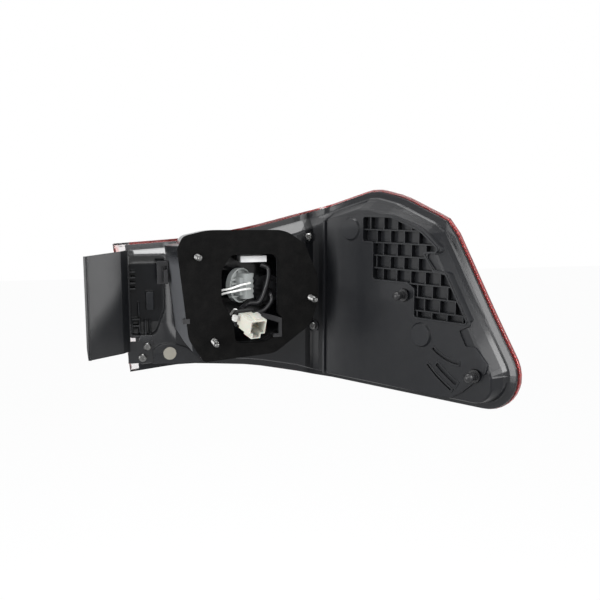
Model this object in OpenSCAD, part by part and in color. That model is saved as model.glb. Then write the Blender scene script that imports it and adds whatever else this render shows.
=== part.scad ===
// Wraparound tail lamp, seen from the side that faces the car body.
// The origin is the axis of the upper left stud at the outer face of the gasket.
// -Y is the way the studs point, +X runs towards the wing and +Z is up.

/* [Wrap] */
// Distance from the gasket face to the plane of the rear rim
rim_y = 70; // [64:1:80]
// X where the corner arc of the rim starts
corner_x = 118.5; // [112:0.5:124]
// Radius of the rim round the corner of the car
corner_r = 50; // [46:1:60]
// Angle that the wing turns away from the rear
wrap_angle = 61; // [56:1:66]
// Distance from the corner arc to the centre of the wing tip
tip_reach = 195.5; // [190:0.5:205]
// Radius of the wing tip
tip_r = 34.5; // [32:0.5:37]
// Height of the centre of the wing tip
tip_z = -107; // [-112:1:-104]
// Length of the rear from the corner arc to its inboard end
rear_len = 201; // [196:1:206]

/* [Housing] */
// Wall of the moulded housing
wall = 2.5; // [2:0.1:3]
// Width of the glossy rim strip
rim_strip = 6.5; // [5:0.5:8]
// Height of the rear floor over the rim plane
rear_rise = 16; // [14:0.5:18]
// Height of the wing panel over the rim plane
wing_rise = 22; // [20:0.5:24]
// Height of the raised field of the wing panel
field_rise = 2; // [1.5:0.1:3]
// Run of the slope along the top edge
slope_top = 10; // [8:0.5:12]
// Run of the slope along the outboard edge
slope_side = 7; // [5:0.5:9]
// Run of the slope along the bottom edge
slope_bottom = 1.5; // [1:0.5:3]
// Depth of the ribbed pocket in the wing
pocket_depth = 5; // [4:0.5:6]
// Height of one row of the ribbed pocket
row_pitch = 13; // [12:0.5:14]
// Length of one cell of the ribbed pocket
cell_pitch = 17.5; // [16:0.5:19]
// Thickness of the ribs in the pocket
rib_t = 1.5; // [1.2:0.1:2]
// Depth of the glossy recess beside the tower
recess_depth = 12.5; // [11:0.5:13]

/* [Mounting] */
// Thickness of the foam gasket
gasket_t = 6; // [5:0.5:8]
// Wall of the mounting tower
tower_wall = 3; // [2.5:0.1:4]
// Thread diameter of the studs
stud_d = 6; // [5:0.5:6]
// Length of a stud in front of the gasket
stud_len = 22; // [18:1:26]
// Diameter of the ball on a locating pin
ball_d = 9; // [8:0.5:11]
// Length of a locating pin over the wing panel
pin_len = 15; // [12:1:18]
// Distance between the stud on the axis and the lower left stud, sideways
stud_low_x = 15.6; // [14:0.2:18]
// Distance down to the lower left stud
stud_low_z = -88; // [-90:1:-84]
// X of the right stud
stud_right_x = 119.5; // [117:0.5:120]
// Height of the right stud
stud_right_z = -45.5; // [-50:0.5:-40]

/* [Lamp] */
// Depth of the lens in front of the rim plane
lens_depth = 26; // [25:0.5:28]
// Wall of the lens
lens_wall = 3; // [2.5:0.1:3.5]
// Diameter of the flange of the reversing bulb holder
holder_d = 37; // [34:0.5:39]
// Diameter of the bore that takes a bulb holder
holder_bore = 25; // [23:0.5:27]
// Turn of the reversing bulb holder away from the rear
holder_turn = 40; // [36:1:44]
// Radius of the mouth of the reversing reflector
reverse_r = 25; // [23:0.5:26]
// Radius of the mouth of the turn reflector
turn_r = 24; // [20:0.5:25]
// Thickness of the circuit board
board_t = 1.6; // [1:0.1:2.4]
// Spacing of the light sources on the board
led_pitch = 18; // [17.8:0.1:18.5]

/* [Plug] */
// Width of the plug housing
plug_w = 19; // [17:0.5:21]
// Height of the plug housing
plug_h = 15; // [13:0.5:17]
// Length of the plug housing
plug_len = 32; // [28:1:36]
// Wall of the plug housing
plug_wall = 1.4; // [1.2:0.1:1.8]
// Diameter of a wire over its insulation
wire_d = 2.2; // [1.8:0.1:2.6]

/* [Hidden] */
$fn = 48;

// Rim line: u runs along the plan of the rim from the start of the corner arc,
// negative over the rear and positive over the corner and the wing.
arc_len = corner_r * wrap_angle * PI / 180;
tip_u = arc_len + tip_reach;
left_u = -rear_len;
left_x = corner_x - rear_len;
left_slant = 14;
slant_run = 60;
slant_height = 140;
slant_top = 9;

// The place of a point at u along the rim, height z and distance o out of the rim plane.
function place(u, z, o) =
    u < 0 ? [corner_x + u, rim_y + o, z]
    : u < arc_len ? let (a = u / corner_r * 180 / PI)
        [corner_x + (corner_r + o) * sin(a), rim_y - corner_r + (corner_r + o) * cos(a), z]
    : let (s = u - arc_len)
        [corner_x + (corner_r + o) * sin(wrap_angle) + s * cos(wrap_angle),
         rim_y - corner_r + (corner_r + o) * cos(wrap_angle) - s * sin(wrap_angle), z];

// Moves a child to a place on the rim surface: x along the rim, y up and z towards
// the car body. The wing's own frame starts at the end of the corner arc.
module on_rim(u, z, o) {
    translate(place(u, z, o))
        rotate([0, 0, -max(0, min(1, u / arc_len)) * wrap_angle])
            rotate([90, 0, 0])
                children();
}
module on_wing() {
    on_rim(arc_len, 0, 0) children();
}

// Moves a child into the frame of the rear: x right, y up and z towards the car body.
module on_rear(y = 0) {
    translate([0, y, 0])
        rotate([90, 0, 0])
            children();
}

// A rounded polyline: every control point is [u, z, radius]. A fillet takes at most a
// share of the shorter edge beside it.
open_share = 0.6;
closed_share = 0.49;
function unit(v) = v / norm(v);
function corner_arc(a, b, c, share, steps = 6) =
    let (p = unit([a[0] - b[0], a[1] - b[1]]), q = unit([c[0] - b[0], c[1] - b[1]]),
         room = min(norm([a[0] - b[0], a[1] - b[1]]), norm([c[0] - b[0], c[1] - b[1]])),
         half = acos(max(-1, min(1, p * q))) / 2,
         r = min(b[2], share * room * tan(half)),
         centre = [b[0], b[1]] + unit(p + q) * r / sin(half),
         from = [b[0], b[1]] + p * r / tan(half) - centre,
         to = [b[0], b[1]] + q * r / tan(half) - centre)
    [for (k = [0 : steps]) centre + unit(from * (1 - k / steps) + to * k / steps) * r];
function rounded(ctrl) = concat([[ctrl[0][0], ctrl[0][1]]],
    [for (i = [1 : len(ctrl) - 2]) each corner_arc(ctrl[i - 1], ctrl[i], ctrl[i + 1], open_share)],
    [[ctrl[len(ctrl) - 1][0], ctrl[len(ctrl) - 1][1]]]);
function closed_rounded(ctrl) = let (n = len(ctrl))
    [for (i = [0 : n - 1])
        each corner_arc(ctrl[(i + n - 1) % n], ctrl[i], ctrl[(i + 1) % n], closed_share)];

// Top and bottom edges of the rim, from the inboard end to the wing tip.
tip_join = 31;
apex_u = 112;
apex_z = 68;
shoulder_u = 206;
shoulder_z = 36;
edge_top = rounded([[left_u, slant_top, 0], [-120, 14.5, 300], [-50, 26.5, 200], [apex_u, apex_z, 45],
    [148, 60, 60], [shoulder_u, shoulder_z, 26], [tip_u + 5, -48, 300],
    [tip_u + tip_r * cos(tip_join), tip_z + tip_r * sin(tip_join), 0]]);
edge_bottom = rounded([[left_u, -131, 0], [-125, -124.5, 200], [-50, -130.5, 200],
    [28, -146.5, 150], [tip_u - 30, tip_z - tip_r - 0.7, 300], [tip_u, tip_z - tip_r, 0]]);
tip_steps = 8;
tip_end = 84;
function tip_point(a) = [tip_u + tip_r * cos(a), tip_z + tip_r * sin(a)];
tip_arc_top = [for (a = [tip_join - 5 : -5 : 5]) tip_point(a)];
tip_arc_bottom = [for (a = [-tip_end : 6 : -6]) tip_point(a)];
rim_top = concat(edge_top, tip_arc_top);
rim_bottom = concat(edge_bottom, tip_arc_bottom);

// A table of an edge moved inwards: flat is the same all round, slope grows with the
// sloped walls, which are wider along the top than at the side and the bottom.
function slope_of(n) = n[1] > 0 ? slope_side + (slope_top - slope_side) * n[1]
    : slope_side + (slope_bottom - slope_side) * -n[1];
function edge_normal(pts, i, sign) =
    let (a = pts[max(0, i - 1)], b = pts[min(len(pts) - 1, i + 1)], t = unit(b - a))
    [-t[1], t[0]] * sign;
function inset_edge(pts, sign, flat, slope) =
    [for (i = [0 : len(pts) - 1])
        let (n = edge_normal(pts, i, sign)) pts[i] - n * (flat + slope * slope_of(n))];

// Columns along the rim. Every ring of the shell has a point at the top and at the
// bottom of each column, so the faces between two columns stay flat.
ridge_u = 56;
ridge_w = 2.5;
ridge_rise = 3;
first_column = 28;
columns = concat([left_u], [for (u = [left_u + first_column : 19 : -8]) u],
    [for (k = [0 : 6]) arc_len * k / 7], [arc_len],
    [ridge_u - 0.8, ridge_u, ridge_u + ridge_w, ridge_u + ridge_w + 1.2],
    [for (u = [ridge_u + 14 : 12 : tip_u - 4]) u]);
function floor_rise(u) = lookup(u, [[0, rear_rise], [ridge_u - 0.8, wing_rise - 5],
    [ridge_u, wing_rise + ridge_rise], [ridge_u + ridge_w, wing_rise + ridge_rise],
    [ridge_u + ridge_w + 1.2, wing_rise]]);
function slanted(u, z) = u + left_slant * max(0, 1 - (u - left_u) / slant_run)
    * (slant_top - z) / slant_height;

// One ring of the shell. A spec is [flat inset, share of the slope, offset, share of the
// rise], and start is how far the ring's inboard end lies from the end of the lens. The
// housing's rings crowd together there.
end_share = 0.5;
function ring(spec, start) =
    let (flat = spec[0], slope = spec[1],
         top = inset_edge(rim_top, 1, flat, slope),
         bottom = inset_edge(rim_bottom, -1, flat, slope),
         reach = tip_r - flat - slope * slope_side,
         inset = start + (flat + slope) * (start > 0 ? end_share : 1),
         us = concat([for (u = columns) max(u, left_u + inset)],
             [for (k = [0 : tip_steps]) tip_u + reach * sin(tip_end * k / tip_steps)]))
    concat(
        [for (u = us) let (z = lookup(u, top))
            place(slanted(u, z), z, spec[2] - spec[3] * floor_rise(u))],
        [for (i = [len(us) - 1 : -1 : 0]) let (u = us[i], z = lookup(u, bottom))
            place(slanted(u, z), z, spec[2] - spec[3] * floor_rise(u))]);

// A closed skin through a list of rings, from one floor to the other. Each floor is
// closed with a flat face between every pair of columns. A bead has no floors: its last
// ring joins the first.
module skin(specs, start, bead = false) {
    rings = [for (s = specs) ring(s, start)];
    n = len(rings[0]);
    m = len(rings);
    half = n / 2;
    sides = [for (j = [0 : (bead ? m - 1 : m - 2)]) for (i = [0 : n - 1])
        let (a = j * n, b = ((j + 1) % m) * n, k = (i + 1) % n)
        each [[a + i, b + k, a + k], [a + i, b + i, b + k]]];
    first = [for (i = [0 : half - 2])
        each [[n - 1 - i, i, i + 1], [n - 1 - i, i + 1, n - 2 - i]]];
    last = [for (i = [0 : half - 2]) let (b = (m - 1) * n)
        each [[b + i, b + n - 1 - i, b + i + 1], [b + i + 1, b + n - 1 - i, b + n - 2 - i]]];
    polyhedron([for (r = rings) each r], bead ? sides : concat(first, sides, last));
}

// Outline of the mounting tower and its gasket, in X and Z.
gasket_outline = closed_rounded([[-20, 8, 8], [-14, 21, 10], [12, 27, 60], [92, 26.5, 30],
    [113, 12, 18], [127.5, -22, 14], [127, -50, 14], [120, -74, 12], [80, -103.5, 22],
    [5, -109.5, 5], [-10, -86, 20]]);
hole_outline = closed_rounded([[24.5, -14, 14], [35, 1.5, 8], [84, 1.5, 8], [84, -62, 4],
    [88.5, -66, 2], [88.5, -87, 2], [77, -87, 2], [70, -91, 3], [38, -91, 6], [36, -66, 8],
    [24, -46, 20]]);
function grow_from(pts, mid, d) = [for (p = pts) p + unit(p - mid) * d];
function grow(pts, d) = grow_from(pts, [52, -38], d);

// Floor of the rear, and the wing panel, as heights over the rim plane.
floor_y = rim_y - rear_rise;
tower_back = floor_y + 1;
well_floor = floor_y - wall;
plate_y = gasket_t + tower_wall;

// Both bulb holders: z runs out of the lamp and z = 0 is the back of the flange.
holder_x = 45.5;
holder_y = 30;
holder_z = -33;
turn_x = 80.5;
turn_y = 38;
turn_z = -40;
turn_flange_d = holder_d - 4;
flange_t = 3;
fit = 0.3;
module on_holder() {
    translate([holder_x, holder_y, holder_z])
        rotate([0, 0, holder_turn])
            rotate([90, 0, 0])
                children();
}
module on_turn() {
    translate([turn_x, turn_y, turn_z])
        rotate([90, 0, 0])
            children();
}
function holder_point(x, y, z) = [holder_x + x * cos(holder_turn) + z * sin(holder_turn),
    holder_y + x * sin(holder_turn) - z * cos(holder_turn), holder_z + y];

// Sockets of the two bulb holders, cut off at the inner face of the floor.
socket_wall = 3;
socket_len = 50;
module sockets() {
    intersection() {
        union() {
            on_holder() translate([0, 0, -socket_len])
                cylinder(r = holder_bore / 2 + socket_wall, h = socket_len - fit);
            on_turn() translate([0, 0, -socket_len])
                cylinder(r = holder_bore / 2 + socket_wall, h = socket_len - fit);
        }
        on_rear(floor_y + wall - 0.05) linear_extrude(floor_y + wall - plate_y)
            polygon(grow(gasket_outline, -2.5));
    }
}
module socket_bores() {
    on_holder() translate([0, 0, -socket_len]) cylinder(d = holder_bore, h = socket_len + 1);
    on_turn() translate([0, 0, -socket_len]) cylinder(d = holder_bore, h = socket_len + 1);
}

lens_end = 12.5;
module moulded_shell() {
    skin([[rim_strip + 2.4, 1.04, 0, 1], [rim_strip + 1.4, 0.94, 1.4, 1],
        [rim_strip + 0.8, 0.08, -4.8, 0], [rim_strip, 0, -3.4, 0], [0.4, 0, -2.6, 0],
        [0, 0, -0.4, 0], [rim_strip - 2, 0, -0.4, 0],
        [rim_strip + 1.6 + wall, 0.1, -2, 0], [rim_strip + 2.4 + wall, 1, wall, 1]], lens_end);
}

// Mounting tower: a box with a front plate that carries the gasket and the studs.
stud_places = [[0, 0], [stud_low_x, stud_low_z], [stud_right_x, stud_right_z]];
stud_fit = 0.2;
stud_root = 10;
// Its inboard side leans out from the gasket to the floor. A block of the tower goes from
// y to y2, with its outline moved inwards by d.
lean = 12;
lean_turn = 6;
lean_from = [-18, gasket_t - 2];
lean_outline = [[-31, 9], [0, 14], [40, 14], [40, -102], [0, -105], [-12, -93], [-25, -72]];
module tower_block(d, y, y2) {
    on_rear(y2) linear_extrude(y2 - y) polygon(grow(gasket_outline, -d));
    intersection() {
        on_rear(y2) linear_extrude(y2 - y) polygon(grow_from(lean_outline, [12, -45], 2 - d));
        rotate([0, -lean_turn, 0]) translate([0, 0, -130]) linear_extrude(160)
            polygon([lean_from + [d, 0], [lean_from[0] + d - lean, y2 + 1],
                [60, y2 + 1], [60, lean_from[1]]]);
    }
}
module tower() {
    tower_block(2, gasket_t, tower_back);
}
module tower_hollow() {
    tower_block(2 + tower_wall, plate_y, well_floor);
}
module stud_bosses() {
    intersection() {
        for (p = stud_places)
            translate([p[0], gasket_t + 1, p[1]]) rotate([-90, 0, 0])
                cylinder(r = stud_root_d / 2 + 4, h = stud_root + 2);
        on_rear(plate_y + stud_root + 4) linear_extrude(stud_root + 8)
            polygon(grow(gasket_outline, -2.5));
    }
}
module stud_holes() {
    for (p = stud_places)
        translate([p[0], gasket_t - 1, p[1]]) rotate([-90, 0, 0])
            cylinder(d = stud_root_d + 2 * stud_fit, h = stud_root + 1);
}

// Glossy recess between the inboard flange and the tower.
recess_left = left_x + 16.5;
recess_right = -29.5;
recess_top = -2;
recess_bottom = -88;
recess_back = floor_y + recess_depth;
recess_corner = 0.3 * (recess_right - recess_left);
function recess_outline(d) = closed_rounded([[recess_left - d, recess_top + d, 3],
    [recess_right + d, recess_top + d, 3], [recess_right + d, -60, 20],
    [recess_right - recess_corner + d, recess_bottom - d, 8], [recess_left - d, recess_bottom - d, 3]]);
module recess_block() {
    on_rear(recess_back + wall) linear_extrude(recess_depth + wall - 1)
        polygon(recess_outline(wall));
}
module recess_cut() {
    on_rear(recess_back) linear_extrude(recess_depth + 2)
        polygon(recess_outline(0));
}

// What stands in the recess: a ladder, an island, upright ribs and a small frame.
ladder_z = [-20, -26, -32, -38];
ladder_len = 6;
recess_rib = 1.8;
module recess_post(x, z, w, h, deep) {
    translate([recess_left + x, recess_back - deep, z]) cube([w, deep + 1, h]);
}
module recess_ribs() {
    for (z = ladder_z)
        recess_post(-1, z, ladder_len + 1, recess_rib, recess_depth - 1);
    recess_post(16.5, -61, 8, 20, recess_depth - 4);
    recess_post(7.5, -67, recess_rib, 14, recess_depth - 3);
    for (x = [0, 8])
        recess_post(x, -86, recess_rib, 16, recess_depth - 3);
    for (z = [-71.8, -79])
        recess_post(0, z, 8, recess_rib, recess_depth - 3);
    recess_post(14, recess_bottom - 1, recess_rib, 17, recess_depth - 1);
    recess_post(19, recess_bottom - 1, recess_rib, 17, recess_depth - 5);
}

// Pocket of the wing, as x along the wing and y up.
pocket_top = 40;
pocket_left = 61;
pocket_mid = 75;
pocket_foot = 128.5;
pocket_step_y = pocket_top - 2 * row_pitch + 1;
pocket_low_y = pocket_top - 4.9 * row_pitch;
pocket_end_y = pocket_low_y - 2.6 * row_pitch;
pocket_corners = [[pocket_left, pocket_top, 2], [98, pocket_top - 0.5, 20],
    [134, 26, 30], [156, 8.5, 2], [136, 7, 2], [150, -12, 3], [163.5, -13.5, 3],
    [189, -57.5, 2], [pocket_foot, pocket_end_y, 3], [pocket_foot, pocket_low_y - 6, 4],
    [pocket_foot - 9.5, pocket_low_y, 4], [pocket_mid, pocket_low_y, 3], [pocket_mid, pocket_step_y, 2],
    [pocket_left, pocket_step_y, 2]];
pocket_outline = closed_rounded(pocket_corners);
field_left = ridge_u - arc_len + 7;
field_outline = closed_rounded([[field_left, 38, 4], [60, 43.5, 10], [98, 43, 30],
    [136, 30.5, 30], [160, 9, 4], [140, 5, 3], [152, -9.5, 3], [165.5, -11, 3],
    [tip_reach - 3, tip_z + 48, 2], [tip_reach - 15, tip_z + 42, 2],
    [tip_reach - 7.5, tip_z + 28, 3], [tip_reach + 3, tip_z + 28.5, 3],
    [tip_reach + 16.5, tip_z + 14, 5], [tip_reach + 14.5, tip_z + 6, 7],
    [tip_reach - 10, tip_z - 16.5, 12], [tip_reach - 24, tip_z - 25, 8], [field_left, -134, 4]]);
function grow_corners(ctrl, d) = let (n = len(ctrl))
    [for (i = [0 : n - 1])
        let (a = ctrl[(i + n - 1) % n], b = ctrl[i], c = ctrl[(i + 1) % n],
             p = unit([b[0] - a[0], b[1] - a[1]]), q = unit([c[0] - b[0], c[1] - b[1]]),
             out = ([-p[1], p[0]] + [-q[1], q[0]]) * d / (1 + p * q),
             turn = p[0] * q[1] - p[1] * q[0])
        [b[0] + out[0], b[1] + out[1], turn < 0 ? b[2] + d : max(0.4, b[2] - d)]];
rows = 8;
cells = 8;
module pocket_ribs() {
    for (r = [1 : rows - 1])
        translate([pocket_left - 1, pocket_top - r * row_pitch - rib_t / 2, 0])
            cube([132, rib_t, pocket_depth + field_rise]);
    for (r = [0 : rows - 1])
        for (k = [0 : cells - 1])
            translate([pocket_left + 8 + (k + (r % 2) / 2) * cell_pitch,
                pocket_top - (r + 1) * row_pitch - 0.1, 0])
                cube([rib_t, row_pitch + 0.2, pocket_depth + field_rise]);
}

// Round bosses and locating pins of the wing panel, [x along the wing, height].
boss_places = [[137.2, -74.4], [43.9, 27.1]];
boss_r = 12.3;
boss_rise = 2.4;
pin_places = [[pocket_foot - 13.5, -37], [tip_reach + 3.5, tip_z + 2]];
pin_shank_d = 6;
pin_base_r = 7;
panel_top = wing_rise + field_rise;
post_places = [[22, -5], [22, -95], [112, -100], [tip_reach - 30.5, -80]];
board_rise = 6;
lip_w = 1.7;
lip_h = 0.8;
module wing_panel() {
    on_wing() {
        translate([0, 0, wing_rise - 1]) linear_extrude(field_rise + 1) polygon(field_outline);
        translate([0, 0, wing_rise - pocket_depth - wall])
            linear_extrude(pocket_depth + wall)
                polygon(closed_rounded(grow_corners(pocket_corners, wall)));
        translate([0, 0, panel_top - 1]) linear_extrude(1 + lip_h)
            polygon(closed_rounded(grow_corners(pocket_corners, lip_w)));
        for (p = boss_places)
            translate([p[0], p[1], panel_top - 1])
                cylinder(r1 = boss_r + 0.6, r2 = boss_r - 1.4, h = boss_rise + 1);
        for (p = pin_places)
            translate([p[0], p[1], wing_rise - wall - 5])
                cylinder(r = pin_base_r, h = wall + 6);
        for (p = post_places)
            translate([p[0], p[1], -board_rise]) cylinder(r = 3, h = board_rise + wing_rise - 1);
        for (a = guide_arcs)
            translate([a[0], a[1], panel_top - 1])
                arc_rib(a[2], a[3] + 2 * guide_lip, a[4] - 1, a[5] + 2, 1 + lip_h - 0.1);
    }
}

// Curved guides beside the lower pin: [x, y, radius, width, first angle, turn].
guide_arcs = [[182, -48.3, 48, 2.4, 231, 39], [235, -12, 118, 3.6, 228.5, 13.5],
    [235, -12, 127, 1.8, 225.5, 15.5]];
guide_depth = 1.6;
guide_lip = 1.6;
module arc_rib(r, w, from, turn, h) {
    rotate([0, 0, from]) rotate_extrude(angle = turn) translate([r - w / 2, 0]) square([w, h]);
}

// The hollow round the foot of a pin, drawn out to a point towards the tip of the wing.
pin_hollow = closed_rounded([[-9, 0, 5], [0, 8.5, 7], [13, 0, 1.5], [0, -8.5, 7]]);
hollow_depth = 1.8;
dimple = closed_rounded([[-9, -3.6, 3], [-9, 3.6, 3], [9, 3.6, 3], [9, -3.6, 3]]);
dimple_place = [163.5, 1.7];
dimple_depth = 1.3;
module wing_cuts() {
    on_wing() {
        difference() {
            translate([0, 0, wing_rise - pocket_depth])
                linear_extrude(pocket_depth + field_rise + 2) polygon(pocket_outline);
            translate([0, 0, wing_rise - pocket_depth - 1]) pocket_ribs();
        }
        for (p = pin_places)
            translate([p[0], p[1], wing_rise - wall - 3]) cylinder(d = pin_shank_d + 2 * fit, h = 20);
        for (p = pin_places)
            translate([p[0], p[1], panel_top - hollow_depth])
                linear_extrude(5) polygon(pin_hollow);
        for (a = guide_arcs)
            translate([a[0], a[1], panel_top - guide_depth]) arc_rib(a[2], a[3], a[4], a[5], 5);
        translate([dimple_place[0], dimple_place[1], wing_rise - dimple_depth])
            linear_extrude(5) polygon(dimple);
    }
}

// Screw bosses of the floor, [u, height], and the pad of the breather.
screw_places = [[21, 16.7], [29, -84.3]];
flange_screw_places = [[left_u + 32.5, -100], [left_u + 27.2, -112]];
screw_d = 4;
screw_head_d = 8.5;
boss_h = 3;
vent_x = -26;
vent_z = -109;
vent_d = 14;
vent_pad_h = 1.2;
vent_pad = closed_rounded([[vent_x - 20, vent_z - 11, 2], [vent_x - 19, vent_z + 4, 5],
    [vent_x - 10, vent_z + 10.5, 12], [vent_x + 2, vent_z + 11.5, 14], [vent_x + 19, vent_z + 5.5, 12],
    [vent_x + 34, vent_z - 8, 6], [vent_x + 32, vent_z - 11.5, 2]]);
small_boss = [left_x + 18.3, 2];
module floor_details() {
    for (p = screw_places)
        on_rim(p[0], p[1], -floor_rise(p[0])) translate([0, 0, -wall]) cylinder(r = 6.5, h = wall + boss_h);
    on_rear(floor_y + wall / 2) linear_extrude(wall / 2 + vent_pad_h) polygon(vent_pad);
    translate([small_boss[0], floor_y + 1, small_boss[1]]) rotate([90, 0, 0]) difference() {
        cylinder(r = 3, h = 4);
        translate([0, 0, 2]) cylinder(r = 1.4, h = 4);
    }
    for (p = flange_screw_places)
        on_rim(p[0], p[1], -rear_rise + wall) cylinder(r = 5, h = wall - 0.01);
}
module screw_holes() {
    for (p = screw_places)
        on_rim(p[0], p[1], -floor_rise(p[0])) translate([0, 0, -wall + 0.5])
            cylinder(d = screw_d + 2 * stud_fit, h = wall + boss_h + 1);
    for (p = flange_screw_places)
        on_rim(p[0], p[1], -rear_rise) translate([0, 0, -wall - 1])
            cylinder(d = screw_d + 2 * stud_fit, h = wall + 2);
}

module housing() {
    color([0.16, 0.17, 0.18])
    difference() {
        union() {
            moulded_shell();
            difference() {
                tower();
                tower_hollow();
            }
            sockets();
            stud_bosses();
            recess_block();
            wing_panel();
            floor_details();
        }
        difference() {
            recess_cut();
            recess_ribs();
        }
        on_rear(plate_y + 1) linear_extrude(plate_y + 2) polygon(hole_outline);
        socket_bores();
        wing_cuts();
        stud_holes();
        screw_holes();
    }
}

// Lens: one domed shell on the rim, cut into its moulded colours. Its foot stands a little
// outside the rim, most along the top edge, and its clear end passes the housing.
foot_gap = 0.6;
foot_w = 2.6;
hood = -0.2;
split_at = 17.2;
end_low = -160;
end_high = 40;
function end_line(at, z) = left_x + at
    + left_slant * (1 - at / slant_run) * (slant_top - z) / slant_height;
face_y = rim_y + lens_depth;
crown = 25;
window_outline = closed_rounded([[left_x + 43, -18, 10], [34, -8, 14], [38, -94, 14],
    [left_x + 50, -95, 10]]);
lens_outside = [[0, hood, foot_gap, 0], [0, hood, foot_gap + 3.6, 0], [1.2, hood / 2, foot_gap + 6, 0],
    [5.5, 0, lens_depth - 14.5, 0], [12, 0, lens_depth - 8.2, 0], [19, 0, lens_depth - 3, 0],
    [crown, 0, lens_depth, 0]];
module lens_shell() {
    skin(concat([[crown, 0, lens_depth - lens_wall, 0], [19.5, 0, lens_depth - lens_wall - 2.8, 0],
        [13, 0, lens_depth - lens_wall - 8, 0], [7, 0, lens_depth - lens_wall - 14, 0],
        [foot_w, 0, foot_gap + 4, 0], [foot_w, 0, foot_gap, 0]], lens_outside), 0);
}
module lens_solid() {
    skin(lens_outside, 0);
}
module end_block(d) {
    on_rear(face_y + 1) linear_extrude(lens_depth + 2)
        polygon([[left_x - 10, end_high], [end_line(split_at, end_high) + d, end_high],
            [end_line(split_at, end_low) + d, end_low], [left_x - 10, end_low]]);
}
module red_lens() {
    color([0.7, 0.04, 0.05])
    difference() {
        lens_shell();
        end_block(0.1);
        on_rear(face_y + 1) linear_extrude(lens_wall + 2) polygon(window_outline);
    }
}

// The clear end: the shell past the split, and a wall that closes it on the housing's rim.
end_wall = 2.4;
module end_window() {
    wall_at = lens_end + 0.4;
    color([0.9, 0.88, 0.88]) {
        intersection() {
            lens_shell();
            end_block(0);
        }
        intersection() {
            lens_solid();
            on_rear(face_y) linear_extrude(lens_depth - foot_gap)
                polygon([[end_line(wall_at, end_high), end_high],
                    [end_line(wall_at + end_wall, end_high), end_high],
                    [end_line(wall_at + end_wall, end_low), end_low],
                    [end_line(wall_at, end_low), end_low]]);
        }
    }
}
window_gap = 0.1;
module reverse_window() {
    color([0.93, 0.93, 0.93])
    on_rear(face_y - 0.05) linear_extrude(lens_wall)
        polygon(grow_from(window_outline, [0, -54], -window_gap));
}
module lens_bond() {
    color([0.25, 0.25, 0.24])
    skin([[1.8, 0, -0.35, 0], [0.4, 0, -0.35, 0], [0.4, 0, foot_gap - 0.05, 0],
        [1.8, 0, foot_gap - 0.05, 0]], lens_end, true);
}

module foam_gasket() {
    color([0.1, 0.1, 0.1])
    difference() {
        on_rear(gasket_t) linear_extrude(gasket_t) polygon(gasket_outline);
        on_rear(gasket_t + 1) linear_extrude(gasket_t + 2) polygon(hole_outline);
        for (p = stud_places)
            translate([p[0], -1, p[1]]) rotate([-90, 0, 0]) cylinder(d = stud_d + 1, h = gasket_t + 2);
        translate([clip_x - 6, -1, clip_z - clip_w / 2 - 0.1]) cube([10, clip_t + 1.3, clip_w + 0.2]);
    }
}

// One stud: a plain root in its boss, the threaded shank and a dog point.
dog_len = 4;
stud_point_d = stud_d * 0.68;
stud_root_d = stud_d + 0.4;
module mounting_studs() {
    color([0.75, 0.75, 0.74])
    for (p = stud_places)
        translate([p[0], 0, p[1]]) rotate([90, 0, 0]) {
            translate([0, 0, -gasket_t - stud_root + 2])
                cylinder(d = stud_root_d, h = gasket_t + stud_root - 2);
            translate([0, 0, -0.5]) cylinder(d = stud_d, h = stud_len - dog_len - 0.5);
            translate([0, 0, stud_len - dog_len - 1])
                cylinder(d1 = stud_d, d2 = stud_point_d, h = 1);
            translate([0, 0, stud_len - dog_len]) cylinder(d = stud_point_d, h = dog_len - 0.5);
            translate([0, 0, stud_len - 0.5])
                cylinder(d1 = stud_point_d, d2 = stud_point_d * 0.7, h = 0.5);
        }
}

module ball_pins() {
    color([0.2, 0.2, 0.21])
    for (p = pin_places)
        on_wing() translate([p[0], p[1], panel_top + 1]) rotate_extrude() difference() {
            union() {
                translate([0, -wall - 3]) square([pin_shank_d / 2, pin_len + wall - 2]);
                square([6, 1.2]);
                translate([0, 1.2]) square([4, 2]);
                translate([0, pin_len - 1 - ball_d / 2]) circle(d = ball_d);
            }
            translate([-20, -20]) square([20, 60]);
        }
}

// A pan head screw with a six-lobed drive, z out of the surface.
module pan_screw(shank) {
    difference() {
        union() {
            cylinder(d = screw_head_d, h = 1.4);
            translate([0, 0, 1.4]) cylinder(d1 = screw_head_d, d2 = screw_head_d - 2.4, h = 1.2);
            translate([0, 0, -shank]) cylinder(d = screw_d, h = shank);
        }
        for (a = [0, 60, 120])
            rotate([0, 0, a]) translate([-1.9, -0.5, 1.2]) cube([3.8, 1, 2]);
    }
}
module housing_screws() {
    color([0.72, 0.72, 0.7])
    for (p = screw_places)
        on_rim(p[0], p[1], -floor_rise(p[0]) - boss_h - 0.05) pan_screw(boss_h + wall - 1);
}

// Inboard flange: a glossy plate with a bend near its root, a lip at its free edge and a
// screwed foot on the floor. Its plan is drawn once and carried up to the slanted top edge.
plate_t = 2.8;
plate_root = [left_x + 13.5, 51];
plate_bend = [left_x + 6, 40];
plate_tip = [left_x - 28, 13.5];
plate_top = 5;
plate_low = -104;
foot_t = 2;
foot_len = 26;
function beside(a, b, d) = [-(b[1] - a[1]), b[0] - a[0]] / norm(b - a) * d;
module strip(a, b, d, d2) {
    polygon([a + beside(a, b, d), b + beside(a, b, d), b + beside(a, b, d2), a + beside(a, b, d2)]);
}
module plate_plan() {
    strip(plate_root, plate_bend, -plate_t / 2, plate_t / 2);
    strip(plate_bend - unit(plate_tip - plate_bend), plate_tip, -plate_t / 2, plate_t / 2);
    strip(plate_tip + unit(plate_bend - plate_tip), plate_tip + unit(plate_bend - plate_tip) * 2.4,
        -plate_t / 2 - 1.2, plate_t / 2 + 1.6);
    strip([plate_root[0], floor_y + 0.9], plate_root - [0, 1.2], -plate_t / 2, plate_t / 2);
}
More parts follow.
